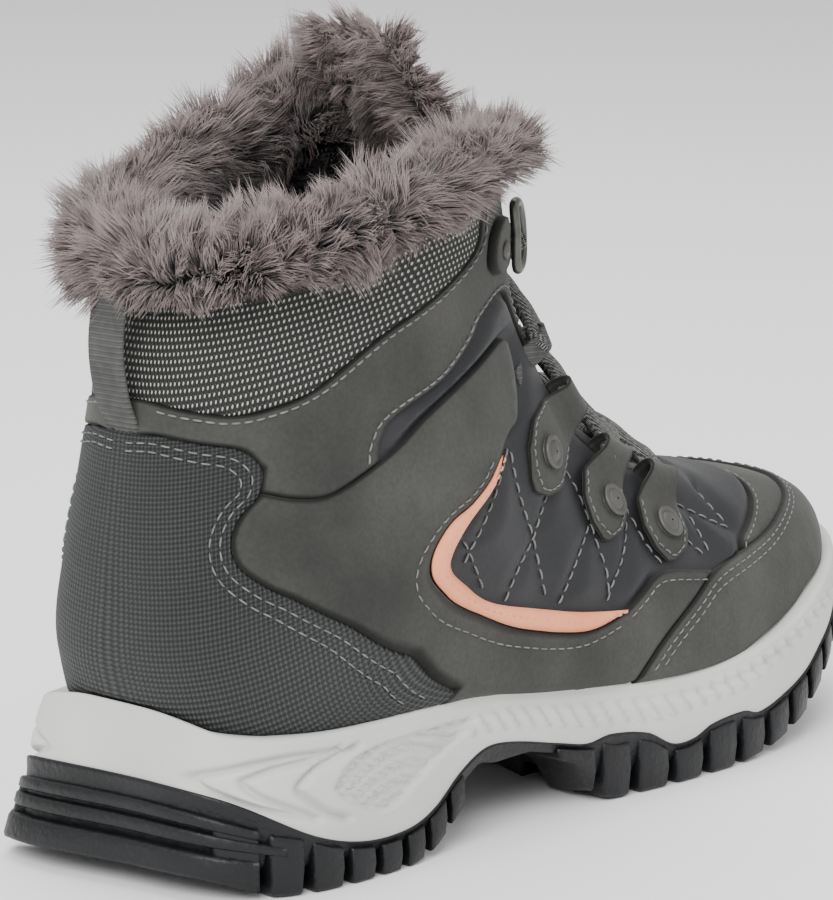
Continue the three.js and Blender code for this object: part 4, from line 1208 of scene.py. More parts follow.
# %% Guard, toe cap, vamp and piping
guard_outline = drawn(
    COUNTER_TOP + COUNTER_FRONT[1:] + [(0.45, 93)],
    [(0.45, 93)] + [(lip_row(p), p) for p in np.linspace(100, 180, 14)],
    [(lip_row(p), 360 - p) for p in np.linspace(180, 100, 14)] + [(0.45, 267)],
    [(0.45, 267)] + [(t, 360 - p) for t, p in (COUNTER_TOP + COUNTER_FRONT[1:])[::-1]],
    [(0.149, 195), (0.147, 180), (0.149, 165)])
heel_guard = panel("heel_guard", guard_outline, -1.3, 0.55, GUARD, ["heel_counter"], edge=0.8, spacing=1.8)

toe_low = [(t, under_lip(t, 5.0)) for t in np.linspace(0.562, 0.975, 34)]
toe_outline = drawn(
    [(t, p) for t, p in TOE_SEAM[::-1]] + [(t, -p) for t, p in TOE_SEAM[1:]],
    [(0.56, -106), (0.566, -112)] + [(t, -p - 2) for t, p in toe_low[2:]] + [(0.985, 0)]
    + [(t, p + 2) for t, p in toe_low[:1:-1]] + [(0.566, 112), (0.56, 106)])
toe_cap = panel("toe_cap", toe_outline, -1.3, 1.7, NUBUCK, ["toe_cap"], spacing=2.3, rise=soften)

vamp_outline = drawn(
    VAMP_EDGE[::-1] + mirrored(VAMP_EDGE[1:]),
    mirrored([(0.648, 54.4), (0.656, 54.6), (0.722, 48.8), (0.785, 37), (0.835, 17), (0.841, 0)])
    + [(0.835, 17), (0.785, 37), (0.722, 48.8), (0.656, 54.6), (0.648, 54.4)])
panel("vamp_ring", vamp_outline, -1.2, 0.55, NUBUCK, rise=soften)

for letter, turn_over in (("right", mirrored), ("left", lambda line: line)):
    crescent = drawn(turn_over(PIPING_OUT), turn_over(PIPING_IN[::-1]), spacing=0.8)
    panel(f"coral_piping_{letter}", crescent, 0.3, 1.9, CORAL, edge=1.5, spacing=0.7)

# %% [markdown]
# ## Lacing
# Each lace tab is a leather flap sewn to the side. At the throat its end turns over the lace and
# tucks under, so it is made as a strip that follows the skin, climbs over the lace and comes back
# down. Its lower end is rounded or pointed. A round-headed rivet with a turned groove holds it.

# %% Lace tabs
TAB_SHAPES = [
    # t of the rear edge and front edge, from the low end (first) to the fold (last), and degrees
    dict(rear=[(0.0, 0.352), (0.1, 0.325), (0.3, 0.308), (0.65, 0.305), (1.0, 0.312)],
         front=[(0.0, 0.362), (0.12, 0.374), (0.3, 0.379), (0.65, 0.366), (1.0, 0.350)], low=56.0),
    dict(rear=[(0.0, 0.470), (0.15, 0.447), (0.4, 0.424), (0.7, 0.410), (1.0, 0.414)],
         front=[(0.0, 0.474), (0.15, 0.480), (0.4, 0.476), (0.7, 0.463), (1.0, 0.452)], low=54.5),
    dict(rear=[(0.0, 0.552), (0.15, 0.532), (0.4, 0.512), (0.7, 0.499), (1.0, 0.500)],
         front=[(0.0, 0.556), (0.15, 0.564), (0.4, 0.562), (0.7, 0.552), (1.0, 0.541)], low=57.5),
]
LACE_R = 2.3
FOLD = 33.0
TAB_WIDER = 1.2


TAB_SEAMS = {"right": [], "left": []}


def lace_tab(side, letter, number, shape):
    low = shape["low"]
    walk = [
        # degrees round the last, height over it
        (low, 0.9), (low - 3, 1.9), (low - 7, 2.2), (42, 2.2), (39.5, 2.4), (37, 3.6), (35, 5.4),
        (33, 6.9), (30.6, 7.2), (28.4, 6.0), (27.4, 3.6), (27.8, 1.0), (29.5, -0.6)]
    rows, cols = 48, 16
    line = smooth_line(walk, rows)
    rear, front = np.array(shape["rear"]), np.array(shape["front"])
    flat_part = np.clip((low - line[:, 0]) / (low - 34), 0, 1)
    across = np.linspace(0, 1, cols)
    t0, t1 = np.interp(flat_part, rear[:, 0], rear[:, 1]), np.interp(flat_part, front[:, 0], front[:, 1])
    middle = (t0 + t1) / 2
    t0, t1 = middle + (t0 - middle) * TAB_WIDER, middle + (t1 - middle) * TAB_WIDER
    t = t0[:, None] + (t1 - t0)[:, None] * across
    phi = np.broadcast_to(side * line[:, :1], t.shape)
    out = np.broadcast_to(line[:, 1:], t.shape)
    bottom = skin(t, phi, out)
    ahead = np.gradient(bottom, axis=0)
    over = np.gradient(bottom, axis=1)
    normal = np.cross(over, ahead) * side
    normal /= np.linalg.norm(normal, axis=-1, keepdims=True) + 1e-12
    width = np.linalg.norm(bottom[:, -1] - bottom[:, 0], axis=-1)
    edge = np.minimum(across, 1 - across)[None, :] * width[:, None]
    thick = 0.5 + 0.9 * np.sqrt(np.clip(1 - (1 - np.clip(edge / 1.1, 0, 1)) ** 2, 0, 1))
    p, f = turned_out(*closed_sheet(bottom, bottom + normal * thick[..., None]))
    from_low = np.concatenate([[0], np.cumsum(np.linalg.norm(np.diff(bottom[:, cols // 2], axis=0), axis=1))])
    cut = np.minimum(edge, from_low[:, None]) + 0.25
    lay = np.stack([t * PER_T, phi * PER_DEGREE, cut], -1).reshape(-1, 3)
    tab = build(f"tab_{letter}_{number}", p, f, NUBUCK_TAB, [f"lace_tab_{letter}_{number}"],
                lay=np.concatenate([lay, lay]))
    s = np.linspace(0.0, 0.72, 20)
    rear_line = np.stack([np.interp(s, flat_part, t0) + 1.5 / PER_T, low - s * (low - 34) - 0.6], 1)
    front_line = np.stack([np.interp(s, flat_part, t1) - 1.5 / PER_T, low - s * (low - 34) - 0.6], 1)
    round_seam = np.concatenate([rear_line[:0:-1], front_line[1:]]) * (1, side)
    TAB_SEAMS[letter].append(round_seam)
    return tab


def turned(profile, centre, normal, sides=40):
    """Turned part: profile points are (radius, height), set at a centre and facing along a normal."""
    normal = np.asarray(normal, float) / np.linalg.norm(normal)
    a = np.cross(normal, (0.2, 0.1, 1.0))
    a /= np.linalg.norm(a)
    b = np.cross(normal, a)
    angles = np.linspace(0, 2 * np.pi, sides, endpoint=False)
    ring = np.cos(angles)[:, None] * a + np.sin(angles)[:, None] * b
    grid = np.array([centre + r * ring + h * normal for r, h in profile])
    m = len(profile)
    last_ring = [(m - 1) * sides + j for j in range(sides)]
    faces = [*grid_faces(m, sides, wrap=True), list(range(sides)), last_ring[::-1]]
    return turned_out(grid.reshape(-1, 3), faces)


RIVETS = [(0.344, 48.6), (0.456, 44.8), (0.538, 46.6)]
RIVET_PROFILE = [
    (3.9, -0.6), (4.3, 0.1), (4.45, 0.55), (4.3, 0.95), (3.9, 1.15), (3.45, 1.1), (3.15, 0.72),
    (2.8, 0.72), (2.55, 1.05), (2.1, 1.25), (1.2, 1.4), (0.3, 1.45)]
for side, letter in ((-1, "right"), (1, "left")):
    for number, shape in enumerate(TAB_SHAPES, 1):
        lace_tab(side, letter, number, shape)
        t, phi = RIVETS[number - 1]
        at = skin(t, side * phi, 3.0)
        head = turned(RIVET_PROFILE, at, last_normal(t, side * phi))
        rivet = build(f"rivet_head_{letter}_{number}", *head, METAL, [f"rivet_{letter}_{number}"])

# %% [markdown]
# Above the tabs, one webbing loop and one D-shaped ring on each side take the lace to the collar.
# The loop is a strap folded over the lace; the ring hangs in a small leather tab.

# %% Webbing loops and rings
def folded_strap(name, side, t_low, t_high, phi_low, wide, node, fold=31.0, height=6.6):
    walk = [(phi_low, 0.3), (phi_low - 3, 0.9), (41, 0.9), (38, 1.8), (35.5, 4.4), (fold + 1.5, height),
            (fold - 1.5, height - 0.6), (fold - 3.2, 3.4), (fold - 2.6, 0.8), (fold, -0.6)]
    line = smooth_line(walk, 44)
    part = np.clip((phi_low - line[:, 0]) / (phi_low - fold), 0, 1)
    middle = t_low + (t_high - t_low) * part
    across = np.linspace(-0.5, 0.5, 13)
    t = middle[:, None] + across[None, :] * wide
    phi = np.broadcast_to(side * line[:, :1], t.shape)
    bottom = skin(t, phi, np.broadcast_to(line[:, 1:], t.shape))
    normal = np.cross(np.gradient(bottom, axis=1), np.gradient(bottom, axis=0)) * side
    normal /= np.linalg.norm(normal, axis=-1, keepdims=True) + 1e-12
    p, f = turned_out(*closed_sheet(bottom, bottom + normal * 1.1))
    return build(name, p, f, WEBBING, [node])


RING_T = 0.085
RING_OUTLINE = [
    # across the boot, along it; the straight bar is at 3.4
    (3.4, -7.2), (3.4, 0), (3.4, 7.2), (1.6, 8.6), (-2.2, 7.8), (-5.2, 5.0), (-6.4, 0.0), (-5.2, -5.0),
    (-2.2, -7.8), (1.6, -8.6)]
RING_WIRE = 1.25
for side, letter in ((-1, "right"), (1, "left")):
    folded_strap(f"webbing_loop_{letter}", side, 0.262, 0.238, 46.5, 0.030, f"lace_loop_{letter}")
    # leather tab for the ring, folded over its straight bar
    around = [(-0.032, 42), (-0.036, 50), (-0.02, 57), (0.012, 57.5), (0.034, 51), (0.03, 42)]
    around = [(RING_T + along, side * phi) for along, phi in around]
    tab_outline = drawn(around, [around[-1], around[0]], spacing=0.8)
    panel(f"ring_holder_{letter}", tab_outline, 0.2, 2.9, NUBUCK_TAB, [f"ring_tab_{letter}"], 1.6, 1.0)
    turns = np.linspace(0, len(RING_OUTLINE), 73)[:-1] + 1
    loop = smooth_rows(np.array(RING_OUTLINE + RING_OUTLINE[:3], float), turns)
    ring_path = np.array([
        skin(RING_T + b / 200, side * (37.4 + a), 3.9 + 0.12 * (3.4 - a)) for a, b in loop])
    wire = round_bar(ring_path, RING_WIRE, 12, closed=True)
    build(f"ring_{letter}", *wire, RING_METAL, [f"d_ring_{letter}"])
    eye = turned([(1.9, -0.4), (2.3, 0.2), (2.2, 0.6), (1.2, 0.9), (0.2, 0.95)],
                 skin(RING_T + 0.002, side * 50.5, 2.9), last_normal(RING_T, side * 50.5), 24)
    build(f"ring_rivet_{letter}", *eye, METAL)

# %% [markdown]
# The lace is a round braid. It starts as a bar across the lowest tabs and crosses over at each
# station up to the rings. It lies over the tongue and dips a little between the sides.

# %% Lace
STATIONS = [(0.527, FOLD - 2), (0.434, FOLD - 2), (0.332, FOLD - 2), (0.240, FOLD - 1), (0.098, 33)]


def lace_piece():
    parts = []

    def strand(t0, phi0, t1, phi1, over):
        k = np.linspace(-0.05, 1.05, 34)
        lift = 3.9 - 2.3 * np.sin(np.pi * np.clip(k, 0, 1)) + over * np.exp(-(((k - 0.5) / 0.16) ** 2))
        path = skin(t0 + (t1 - t0) * k, phi0 + (phi1 - phi0) * k, lift)
        parts.append(round_bar(path, LACE_R * (1 + 0.03 * np.sin(k * 40)), 12))

    strand(STATIONS[0][0], -STATIONS[0][1], STATIONS[0][0] + 0.006, STATIONS[0][1], 0.0)
    for (t0, p0), (t1, p1) in zip(STATIONS[:-1], STATIONS[1:]):
        strand(t0, -p0, t1, p1, 2.2)
        strand(t0, p0, t1, -p1, -1.6)
    strand(STATIONS[-1][0], -STATIONS[-1][1], STATIONS[-1][0], STATIONS[-1][1], 1.0)
    points, faces = join(parts)
    return build("round_lace", points, faces, LACE, ["lace"])


lace_piece()

# %% [markdown]
# The tongue is a padded flap that follows the last just inside the throat and rises above the
# collar. Its face is nylon, with a rolled edge.

# %% Tongue
TONGUE_EDGE = np.array([
    (-0.17, 18), (-0.14, 25), (-0.02, 30), (0.03, 31), (0.1, 38), (0.2, 42), (0.4, 42), (0.64, 30)])
TONGUE_LEAN, TONGUE_ASIDE = 19.0, 4.0


def on_leaning_tongue(t, phi, out=0.0):
    """The tongue follows the last up to the top crossing, then its free end leans back toward the heel."""
    p = skin(t, phi, out)
    lean = ease((0.05 - np.asarray(t, float)) / 0.22)
    p[..., 0] -= TONGUE_LEAN * lean
    p[..., 1] += TONGUE_ASIDE * lean
    return p


def tongue_piece():
    t = np.linspace(-0.165, 0.62, 110)
    across = np.linspace(-1, 1, 46)
    reach = np.interp(t, TONGUE_EDGE[:, 0], TONGUE_EDGE[:, 1])
    phi = across[None, :] * reach[:, None]
    tt = np.broadcast_to(t[:, None], phi.shape)
    rim = np.minimum(1 - np.abs(across)[None, :], ((t - t[0]) / 0.06)[:, None])
    soft = 0.55 + 0.45 * ease(rim / 0.14)
    outer = on_leaning_tongue(tt, phi, -3.0 + 0.9 * soft)
    inner = on_leaning_tongue(tt, phi, -3.4 - 2.8 * soft)
    p, f = turned_out(*closed_sheet(inner, outer))
    return build("padded_tongue", p, f, NYLON, ["tongue"], fill=0.5)


tongue_piece()

# %% [markdown]
# ## Stitching
# Every stitch is a short rounded piece of thread. A run of stitches follows a line at an even pitch,
# each one sunk a little at both ends, as thread is where it goes through the leather.

# %% Stitches
STITCH_PITCH = 3.3


def stitches(lines, out, pitch=STITCH_PITCH, long=2.3, radius=0.22, shift=0.0):
    """Stitches along lines drawn on the upper, moved sideways by shift millimetres."""
    parts = []
    scale = np.array([PER_T, PER_DEGREE])
    for line in lines:
        dense = smooth_line(line, 240)
        flat = dense * scale
        if shift:
            ahead = np.gradient(flat, axis=0)
            side_way = np.stack([-ahead[:, 1], ahead[:, 0]], 1)
            flat = flat + side_way / (np.linalg.norm(side_way, axis=1)[:, None] + 1e-12) * shift
        where = flat / scale
        p = skin(where[:, 0], where[:, 1], out)
        run = np.concatenate([[0], np.cumsum(np.linalg.norm(np.diff(p, axis=0), axis=1))])
        for start in np.arange(pitch * 0.3, run[-1] - long, pitch):
            ends = start + long * np.array([0, 0.16, 0.5, 0.84, 1.0])
            t = np.interp(ends, run, where[:, 0])
            phi = np.interp(ends, run, where[:, 1])
            low_end = skin(t[-1], phi[-1])
            if low_end[2] < look_up(LIP_TOP, low_end[0]) + 1.5:
                continue
            lift = out + np.array([-0.28, 0.0, 0.1, 0.0, -0.28])
            parts.append(round_bar(skin(t, phi, lift), radius * np.array([0.55, 0.95, 1, 0.95, 0.55]), 6))
    return join(parts)


print("stitches on the leather every", STITCH_PITCH, "mm")

# %% Seams of both sides
def seam_piece(name, runs, material):
    parts = [stitches(lines, out, shift=shift, **extra) for lines, out, shift, extra in runs]
    points, faces = join(parts)
    return build(name, points, faces, material)


for side, letter in ((-1, "right"), (1, "left")):
    way = mirrored if side < 0 else (lambda line: line)
    counter = [(0.149, 179)] + COUNTER_TOP + COUNTER_FRONT[1:]
    runs = [
        ([way(counter)], 0.72, 2.4 * side, {}), ([way(counter)], 0.72, 4.6 * side, {}),
        ([way(TOE_SEAM)], 1.7, -2.4 * side, {}), ([way(TOE_SEAM)], 1.7, -4.4 * side, {}),
        ([way(GUARD_TOP)], 1.12, 2.2 * side, {}), ([way(PIPING_OUT)], 1.12, 2.4 * side, {}),
        ([way(VAMP_EDGE)], 0.5, -2.0 * side, {}),
        ([way(line) for line in QUILT], -0.32, 0.0, dict(pitch=3.9, long=2.8, radius=0.27)),
        (TAB_SEAMS[letter], 2.3, 0.0, dict(pitch=2.6, long=1.8, radius=0.2)),
        ([way(WEB_EDGE[:-1])], 0.72, 2.0 * -side, dict(pitch=3.0, long=2.2, radius=0.28)),
        ([way(CRESCENT)], 0.72, -2.0 * side, dict(pitch=3.0, long=2.2, radius=0.28)),
    ]
    seam_piece(f"stitching_{letter}", runs, THREAD)
    crown = (smooth_line(PIPING_OUT, 20) + smooth_line(PIPING_IN, 20)) / 2
    fine = [([way([tuple(p) for p in crown])], 1.75, 0.0, dict(pitch=2.6, long=1.5, radius=0.26))]
    seam_piece(f"piping_stitches_{letter}", fine, CORAL_THREAD)

# %% [markdown]
# ## Pull loop
# A strap of ribbed webbing stands off the back of the collar. It is sewn down at both ends, so its
# path leaves the skin low down, arches out and returns under the fur.

# %% Pull loop
PULL_LOOP_PATH = [
    (11.5, 104.5), (8.9, 109), (5.4, 117), (3.8, 128), (5.4, 138.5), (9.4, 144.4), (14.8, 145.4)]
PULL_LOOP_HALF = 5.6


def pull_loop_piece():
    path = smooth_line(PULL_LOOP_PATH, 40)
    ahead = np.gradient(path, axis=0)
    out = np.stack([-ahead[:, 1], ahead[:, 0]], 1)
    out /= np.linalg.norm(out, axis=1)[:, None]
    wide = np.linspace(-1, 1, 15)
    thick = 0.85 * np.sqrt(np.clip(1 - (np.clip(np.abs(wide) - 0.8, 0, 1) / 0.2) ** 2, 0.15, 1))
    layers = []
    for sign in (-1, 1):
        x = path[:, :1] + sign * thick[None, :] * out[:, :1]
        z = path[:, 1:] + sign * thick[None, :] * out[:, 1:]
        y = np.broadcast_to(wide[None, :] * PULL_LOOP_HALF, x.shape)
        layers.append(np.stack([x, y, z], -1))
    p, f = turned_out(*closed_sheet(*layers))
    return build("pull_loop_strap", p, f, WEBBING, ["pull_loop"])


pull_loop_piece()

# %% [markdown]
# ## Fur
# The collar, the inside and the tongue are lined with long pile. First a lumpy bed gives the fur its
# body. Then each hair is a thin closed spike with three sides, bent once on the way, rooted in the
# bed. Hairs near each other lean the same way, which makes locks.

# %% Fur bed
ROLL_TOP = np.array([
    # degrees round the collar, height of the roll over its rim
    (34, 14), (60, 24), (90, 19), (120, 13), (150, 10), (180, 8), (210, 8), (240, 9), (270, 10), (300, 9),
    (326, 9)])
ROLL_FROM, ROLL_TO = 34, 326
ROLL_HALF = 7.6
ROLL_UNDER, FRONT_LIFT = 6.5, 11.0


def collar_bed():
    """Roll of fur backing on the collar rim, taller on the inner side of the leg and toward the front."""
    count, around = 130, 30
    phi = np.linspace(ROLL_FROM, ROLL_TO, count)
    angle = np.linspace(0, 2 * np.pi, around, endpoint=False)
    rim = last_point(0.0, phi)
    out = last_normal(0.01, phi)
    out[:, 2] = 0
    out /= np.linalg.norm(out, axis=1)[:, None]
    top = look_up(ROLL_TOP, phi)
    end = np.minimum(1, np.sin(np.pi * np.linspace(0, 1, count)) * 5 + 0.4)
    under = ROLL_UNDER - FRONT_LIFT * ease((np.abs(180 - phi) - 70) / 60)
    tall = (top + under) / 2 * end
    centre = rim + np.stack([0 * top, 0 * top, (top - under) / 2], 1)
    sideways = np.cos(angle)[None, :, None] * out[:, None, :]
    grid = centre[:, None, :] + (ROLL_HALF * end)[:, None, None] * sideways
    grid[..., 2] += tall[:, None] * np.sin(angle)[None, :]
    upward = np.stack([0 * tall, 0 * tall, 1 / tall], 1)[:, None, :] * np.sin(angle)[None, :, None]
    direction = sideways / ROLL_HALF + upward
    direction /= np.linalg.norm(direction, axis=-1, keepdims=True)
    grid = grid + direction * (1.2 * waves(grid, 17.0, 21)[..., None])
    last_ring = [(count - 1) * around + j for j in range(around)]
    faces = [*grid_faces(count, around, wrap=True), list(range(around)), last_ring[::-1]]
    return grid, direction, turned_out(grid.reshape(-1, 3), faces)


bed_grid, bed_out, bed_mesh = collar_bed()
fur_bed = build("fur_collar_bed", *bed_mesh, FUR_BED, ["fur_collar"], fill=0.7)


# corners of one hair: three at the root, three at the bend of a long one, then the tip
LONG_HAIR = np.array([
    (0, 2, 1), (0, 1, 4), (0, 4, 3), (1, 2, 5), (1, 5, 4), (2, 0, 3), (2, 3, 5), (3, 4, 6), (4, 5, 6),
    (5, 3, 6)])
SHORT_HAIR = np.array([(0, 2, 1), (0, 1, 3), (1, 2, 3), (2, 0, 3)])


def hairs(name, roots, ways, bends, lengths, material, seed, thick=0.2, shade=None, long=True):
    """Many hairs as one mesh of closed spikes. A long hair has a bend half way, a short one is straight."""
    rng = np.random.default_rng(seed)
    n = len(roots)
    ways = ways / np.linalg.norm(ways, axis=1)[:, None]
    side = np.cross(ways, rng.normal(size=(n, 3)))
    side /= np.linalg.norm(side, axis=1)[:, None]
    other = np.cross(ways, side)
    lengths = lengths[:, None]
    middle = roots + (ways * 0.52 + bends * 0.10) * lengths
    tip = roots + (ways * 0.86 + bends * 0.48) * lengths
    root = roots - ways * 1.0
    k = 7 if long else 4
    points = np.zeros((n, k, 3))
    for c in range(3):
        a = c * 2 * np.pi / 3
        spoke = (math.cos(a) * side + math.sin(a) * other) * thick * (0.7 + 0.6 * rng.random((n, 1)))
        points[:, c] = root + spoke
        if long:
            points[:, 3 + c] = middle + spoke * 0.85
    points[:, k - 1] = tip
    faces = ((LONG_HAIR if long else SHORT_HAIR)[None] + np.arange(n)[:, None, None] * k).reshape(-1, 3)
    mesh = bpy.data.meshes.new(name)
    mesh.vertices.add(n * k)
    mesh.vertices.foreach_set("co", to_frame(points.reshape(-1, 3)).ravel())
    mesh.loops.add(len(faces) * 3)
    mesh.loops.foreach_set("vertex_index", faces.ravel())
    mesh.polygons.add(len(faces))
    mesh.polygons.foreach_set("loop_start", np.arange(len(faces)) * 3)
    mesh.polygons.foreach_set("use_smooth", np.ones(len(faces), bool))
    mesh.update(calc_edges=True)
    colour = mesh.color_attributes.new("hair", "FLOAT_COLOR", "POINT")
    rise = np.tile([0, 0, 0, 0.5, 0.5, 0.5, 1.0] if long else [0, 0, 0, 0.75], n)
    light = np.repeat(rng.random(n) if shade is None else np.clip(shade + rng.normal(0, 0.1, n), 0, 1), k)
    colour.data.foreach_set("color", np.stack([rise, light, rise * 0, rise * 0 + 1], 1).ravel())
    mesh.materials.append(material)
    piece = bpy.data.objects.new(name, mesh)
    bpy.context.scene.collection.objects.link(piece)
    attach(piece, "root")
    print(f"{name}: {n} hairs")
    return piece


# %% Locks of fur on the collar
def locks(points, ways, size, pull, seed):
    """Lean directions toward shared lock centres so that neighbouring hairs meet at their tips."""
    rng = np.random.default_rng(seed)
    count = max(4, int(len(points) / size))
    centres = points[rng.choice(len(points), count, replace=False)]
    centre_ways = np.zeros((count, 3))
    tree = KDTree(count)
    for k, c in enumerate(centres):
        tree.insert(c, k)
    tree.balance()
    owner = np.array([tree.find(p)[1] for p in points])
    np.add.at(centre_ways, owner, ways)
    centre_ways /= np.linalg.norm(centre_ways, axis=1)[:, None] + 1e-9
    centre_ways += rng.normal(0, 0.2, centre_ways.shape)
    goal = centres[owner] + centre_ways[owner] * 12.0 - points
    goal /= np.linalg.norm(goal, axis=1)[:, None]
    bends = rng.normal(0, 0.34, (count, 3))[owner] + rng.normal(0, 0.12, points.shape)
    return ways * (1 - pull) + goal * pull, bends, rng.random(count)[owner]


def bed_hairs(name, phi_from, phi_to, count, seed, long=True):
    rng = np.random.default_rng(seed)
    rows, around = bed_grid.shape[:2]
    low_row, high_row = [(p - ROLL_FROM) / (ROLL_TO - ROLL_FROM) * (rows - 1) for p in (phi_from, phi_to)]
    i = rng.uniform(low_row, high_row, count)
    j = rng.uniform(0, around, count)
    i0, j0 = np.floor(i).astype(int).clip(0, rows - 2), np.floor(j).astype(int) % around
    fi, fj = (i - i0)[:, None], (j - np.floor(j))[:, None]
    j1 = (j0 + 1) % around

    def at(grid):
        return ((grid[i0, j0] * (1 - fj) + grid[i0, j1] * fj) * (1 - fi)
                + (grid[i0 + 1, j0] * (1 - fj) + grid[i0 + 1, j1] * fj) * fi)

    roots, ways = at(bed_grid), at(bed_out)
    keep = ways[:, 2] > -0.62
    roots, ways = roots[keep], ways[keep]
    from_middle = (roots - bed_grid.mean(axis=(0, 1)))[:, :2]
    from_middle /= np.linalg.norm(from_middle, axis=1)[:, None]
    inward = np.clip(-(from_middle * ways[:, :2]).sum(1), 0, 1) * ease((0.92 - ways[:, 2]) / 0.7)
    low_edge = np.clip(0.35 - ways[:, 2], 0, 1) * (1 - inward)
    swirl = np.stack([waves(roots, 30.0, 70 + k) for k in (1, 2, 3)], 1)
    along = np.cross(ways, (0, 0, 1.0))
    ways = ways + 0.45 * swirl + 0.5 * along * waves(roots, 44.0, 80)[:, None] + np.array([0, 0, 0.05])
    ways /= np.linalg.norm(ways, axis=1)[:, None]
    ways, bends, shade = locks(roots, ways, 26 if long else 18, 0.42, seed + 9)
    bends += np.array([0, 0, -0.16]) + 0.5 * swirl
    shortest, spread_of = (8.8, 4.0) if long else (6.8, 2.5)
    lengths = shortest + spread_of * rng.random(len(roots)) + 1.5 * waves(roots, 23.0, 84)
    lengths *= 1 - 0.42 * low_edge
    # Hairs that face into the boot are made darker: painted shade in the collar's opening.
    light = 0.50 + 0.26 * shade - 0.62 * inward
    return hairs(name, roots, ways, bends, lengths, FUR, seed, 0.17, light, long)


LONG_COUNT, SHORT_COUNT = 8000, 12000
QUARTER_ROLL = (ROLL_TO - ROLL_FROM) // 4
for k in range(4):
    start = ROLL_FROM + k * QUARTER_ROLL
    bed_hairs(f"collar_fur_{k + 1}", start, start + QUARTER_ROLL, LONG_COUNT, 100 + k)
    bed_hairs(f"collar_underfur_{k + 1}", start, start + QUARTER_ROLL, SHORT_COUNT, 140 + k, long=False)

# %% [markdown]
# Inside, the lining is the same fur cut shorter, and it is darker because little light gets in. The
# tongue's back and its upper end carry fur as well.

# %% Lining and tongue fur
def skin_hairs(name, t_range, phi_range, depth, lean, count, length, material, seed, keep=None, long=True,
               place=skin, size=40):
    """Hairs that stand on the inner face of the last or the tongue, at a depth below its skin."""
    rng = np.random.default_rng(seed)
    t = rng.uniform(*t_range, count)
    phi = rng.uniform(*phi_range, count)
    if keep is not None:
        ok = keep(t, phi)
        t, phi = t[ok], phi[ok]
    roots = place(t, phi, depth)
    swirl = np.stack([waves(roots, 26.0, seed + k) for k in (1, 2, 3)], 1)
    ways = -last_normal(t, phi) + np.array(lean) + 0.35 * swirl
    ways /= np.linalg.norm(ways, axis=1)[:, None]
    ways, bends, shade = locks(roots, ways, size, 0.5, seed + 9)
    bends += np.array([0, 0, -0.25]) + 0.4 * swirl
    lengths = length * (0.75 + 0.5 * rng.random(len(t)))
    return hairs(name, roots, ways, bends, lengths, material, seed, 0.19, 0.46 + 0.28 * shade, long)


skin_hairs("lining_fur", (-0.02, 0.15), (40, 320), -3.0, (0, 0, 0.3), 11000, 7.0, FUR_INSIDE, 300, long=False)


def on_tongue(t, phi):
    return np.abs(phi) < np.interp(t, TONGUE_EDGE[:, 0], TONGUE_EDGE[:, 1])


tongue_back = dict(keep=on_tongue, place=on_leaning_tongue)
skin_hairs("tongue_back_fur", (-0.165, 0.06), (-30, 30), -6.0, (0, 0, 0.45), 6000, 10.0, FUR, 330,
           **tongue_back)
skin_hairs("tongue_back_underfur", (-0.165, 0.06), (-30, 30), -6.0, (0, 0, 0.4), 9000, 7.0, FUR, 345,
           long=False, **tongue_back)
skin_hairs("tongue_top_fur", (-0.168, -0.13), (-25, 25), -4.5, (-0.6, 0, 1.6), 2800, 9.0, FUR, 360,
           size=30, **tongue_back)

# %% Fur round the tongue's edge
def tongue_edge_hairs(name, count, seed, long):
    rng = np.random.default_rng(seed)
    t = rng.uniform(-0.165, 0.0, count)
    sign = np.where(rng.random(count) < 0.5, -1, 1)
    phi = sign * np.interp(t, TONGUE_EDGE[:, 0], TONGUE_EDGE[:, 1]) * rng.uniform(0.86, 1.0, count)
    depth = rng.uniform(-5.0, -2.2, count)
    roots = on_leaning_tongue(t, phi, depth)
    away = np.stack([0 * t - 0.35, sign * 0.8, 0 * t + 0.35], 1)
    ways = last_normal(t, phi) * ((depth + 3.6) * 0.5)[:, None] + away
    ways += 0.35 * np.stack([waves(roots, 20.0, seed + k) for k in (1, 2, 3)], 1)
    ways, bends, shade = locks(roots, ways / np.linalg.norm(ways, axis=1)[:, None], 24, 0.4, seed + 5)
    bends += np.array([0, 0, -0.2])
    lengths = 6.0 + 4.5 * rng.random(count)
    return hairs(name, roots, ways, bends, lengths, FUR, seed, 0.17, 0.5 + 0.26 * shade, long)


tongue_edge_hairs("tongue_edge_fur", 3200, 400, True)
tongue_edge_hairs("tongue_edge_underfur", 3600, 410, False)

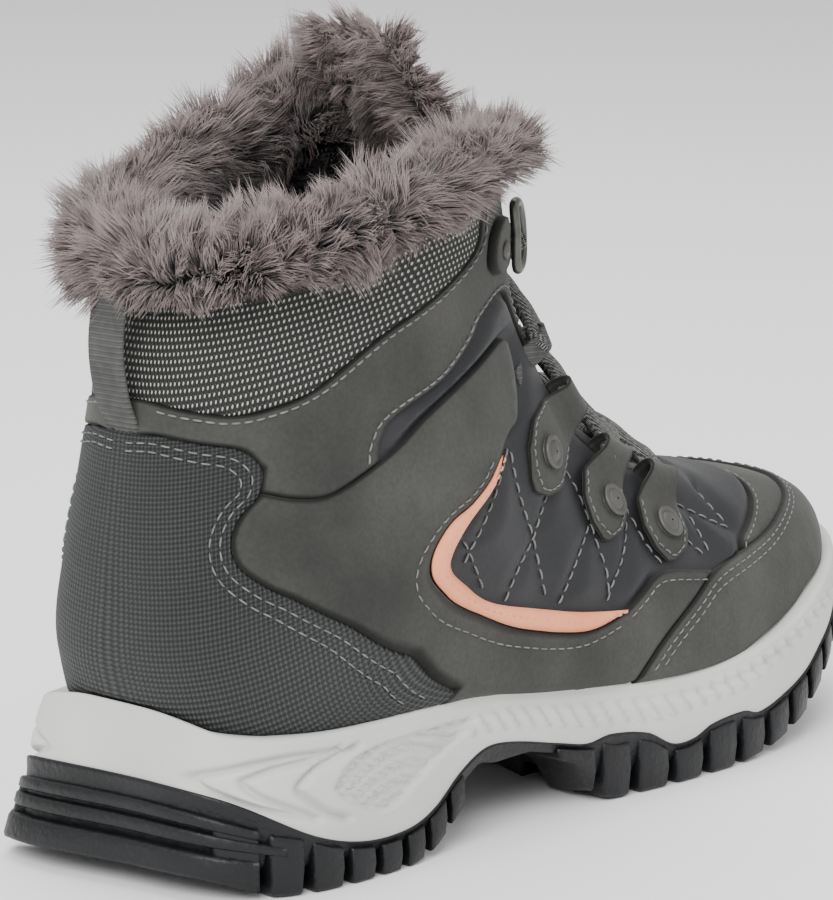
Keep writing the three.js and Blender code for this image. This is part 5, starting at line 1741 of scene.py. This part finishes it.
# %% [markdown]
# ## Camera, floor and light
# A long lens from the rear right, a little above the floor, shows the outer side without much
# foreshortening. The floor is pale and the lights are large and soft, as in a product studio.

# %% Camera
def look_from(azimuth, elevation, distance, aim):
    a, e = math.radians(azimuth), math.radians(elevation)
    back = Vector((math.sin(a) * math.cos(e), -math.cos(a) * math.cos(e), math.sin(e)))
    camera = bpy.data.objects.new("camera", bpy.data.cameras.new("camera"))
    bpy.context.scene.collection.objects.link(camera)
    camera.location = Vector(aim) + back * distance
    camera.rotation_euler = back.to_track_quat("Z", "Y").to_euler()
    camera.data.lens = 150
    camera.data.sensor_width = 36
    return camera


camera = look_from(-48, 11, 1.41184, (0.31521, 0.30417, 0.0))
bpy.context.scene.camera = camera

# %% Floor and lights
floor_mesh = bpy.data.meshes.new("floor")
floor_mesh.from_pydata([(-6, -6, 0), (6, -6, 0), (6, 6, 0), (-6, 6, 0)], [], [(0, 1, 2, 3)])
floor = bpy.data.objects.new("floor", floor_mesh)
bpy.context.scene.collection.objects.link(floor)
floor_finish = Finish("studio_floor", 0.85)
floor_finish.colour(floor_finish.ramp(floor_finish.noise(3.0), [(0.0, grey(0.93)), (1.0, grey(0.96))]))
floor_mesh.materials.append(floor_finish.material)

world = bpy.data.worlds.new("studio")
bpy.context.scene.world = world
world.use_nodes = True
world.node_tree.nodes["Background"].inputs["Color"].default_value = (1.0, 1.0, 1.0, 1)
world.node_tree.nodes["Background"].inputs["Strength"].default_value = 0.9


def soft_light(name, place, aim, size, power):
    lamp = bpy.data.lights.new(name, "AREA")
    lamp.size = size
    lamp.energy = power
    light = bpy.data.objects.new(name, lamp)
    bpy.context.scene.collection.objects.link(light)
    light.location = place
    light.rotation_euler = (Vector(place) - Vector(aim)).to_track_quat("Z", "Y").to_euler()
    return light


soft_light("key", (-1.45, -0.75, 1.3), (0, 0, 0.08), 1.1, 42)
soft_light("fill", (0.9, -1.5, 0.9), (0, 0, 0.08), 1.6, 6)
soft_light("top", (0.2, 0.4, 1.8), (0, 0, 0.05), 1.6, 24)
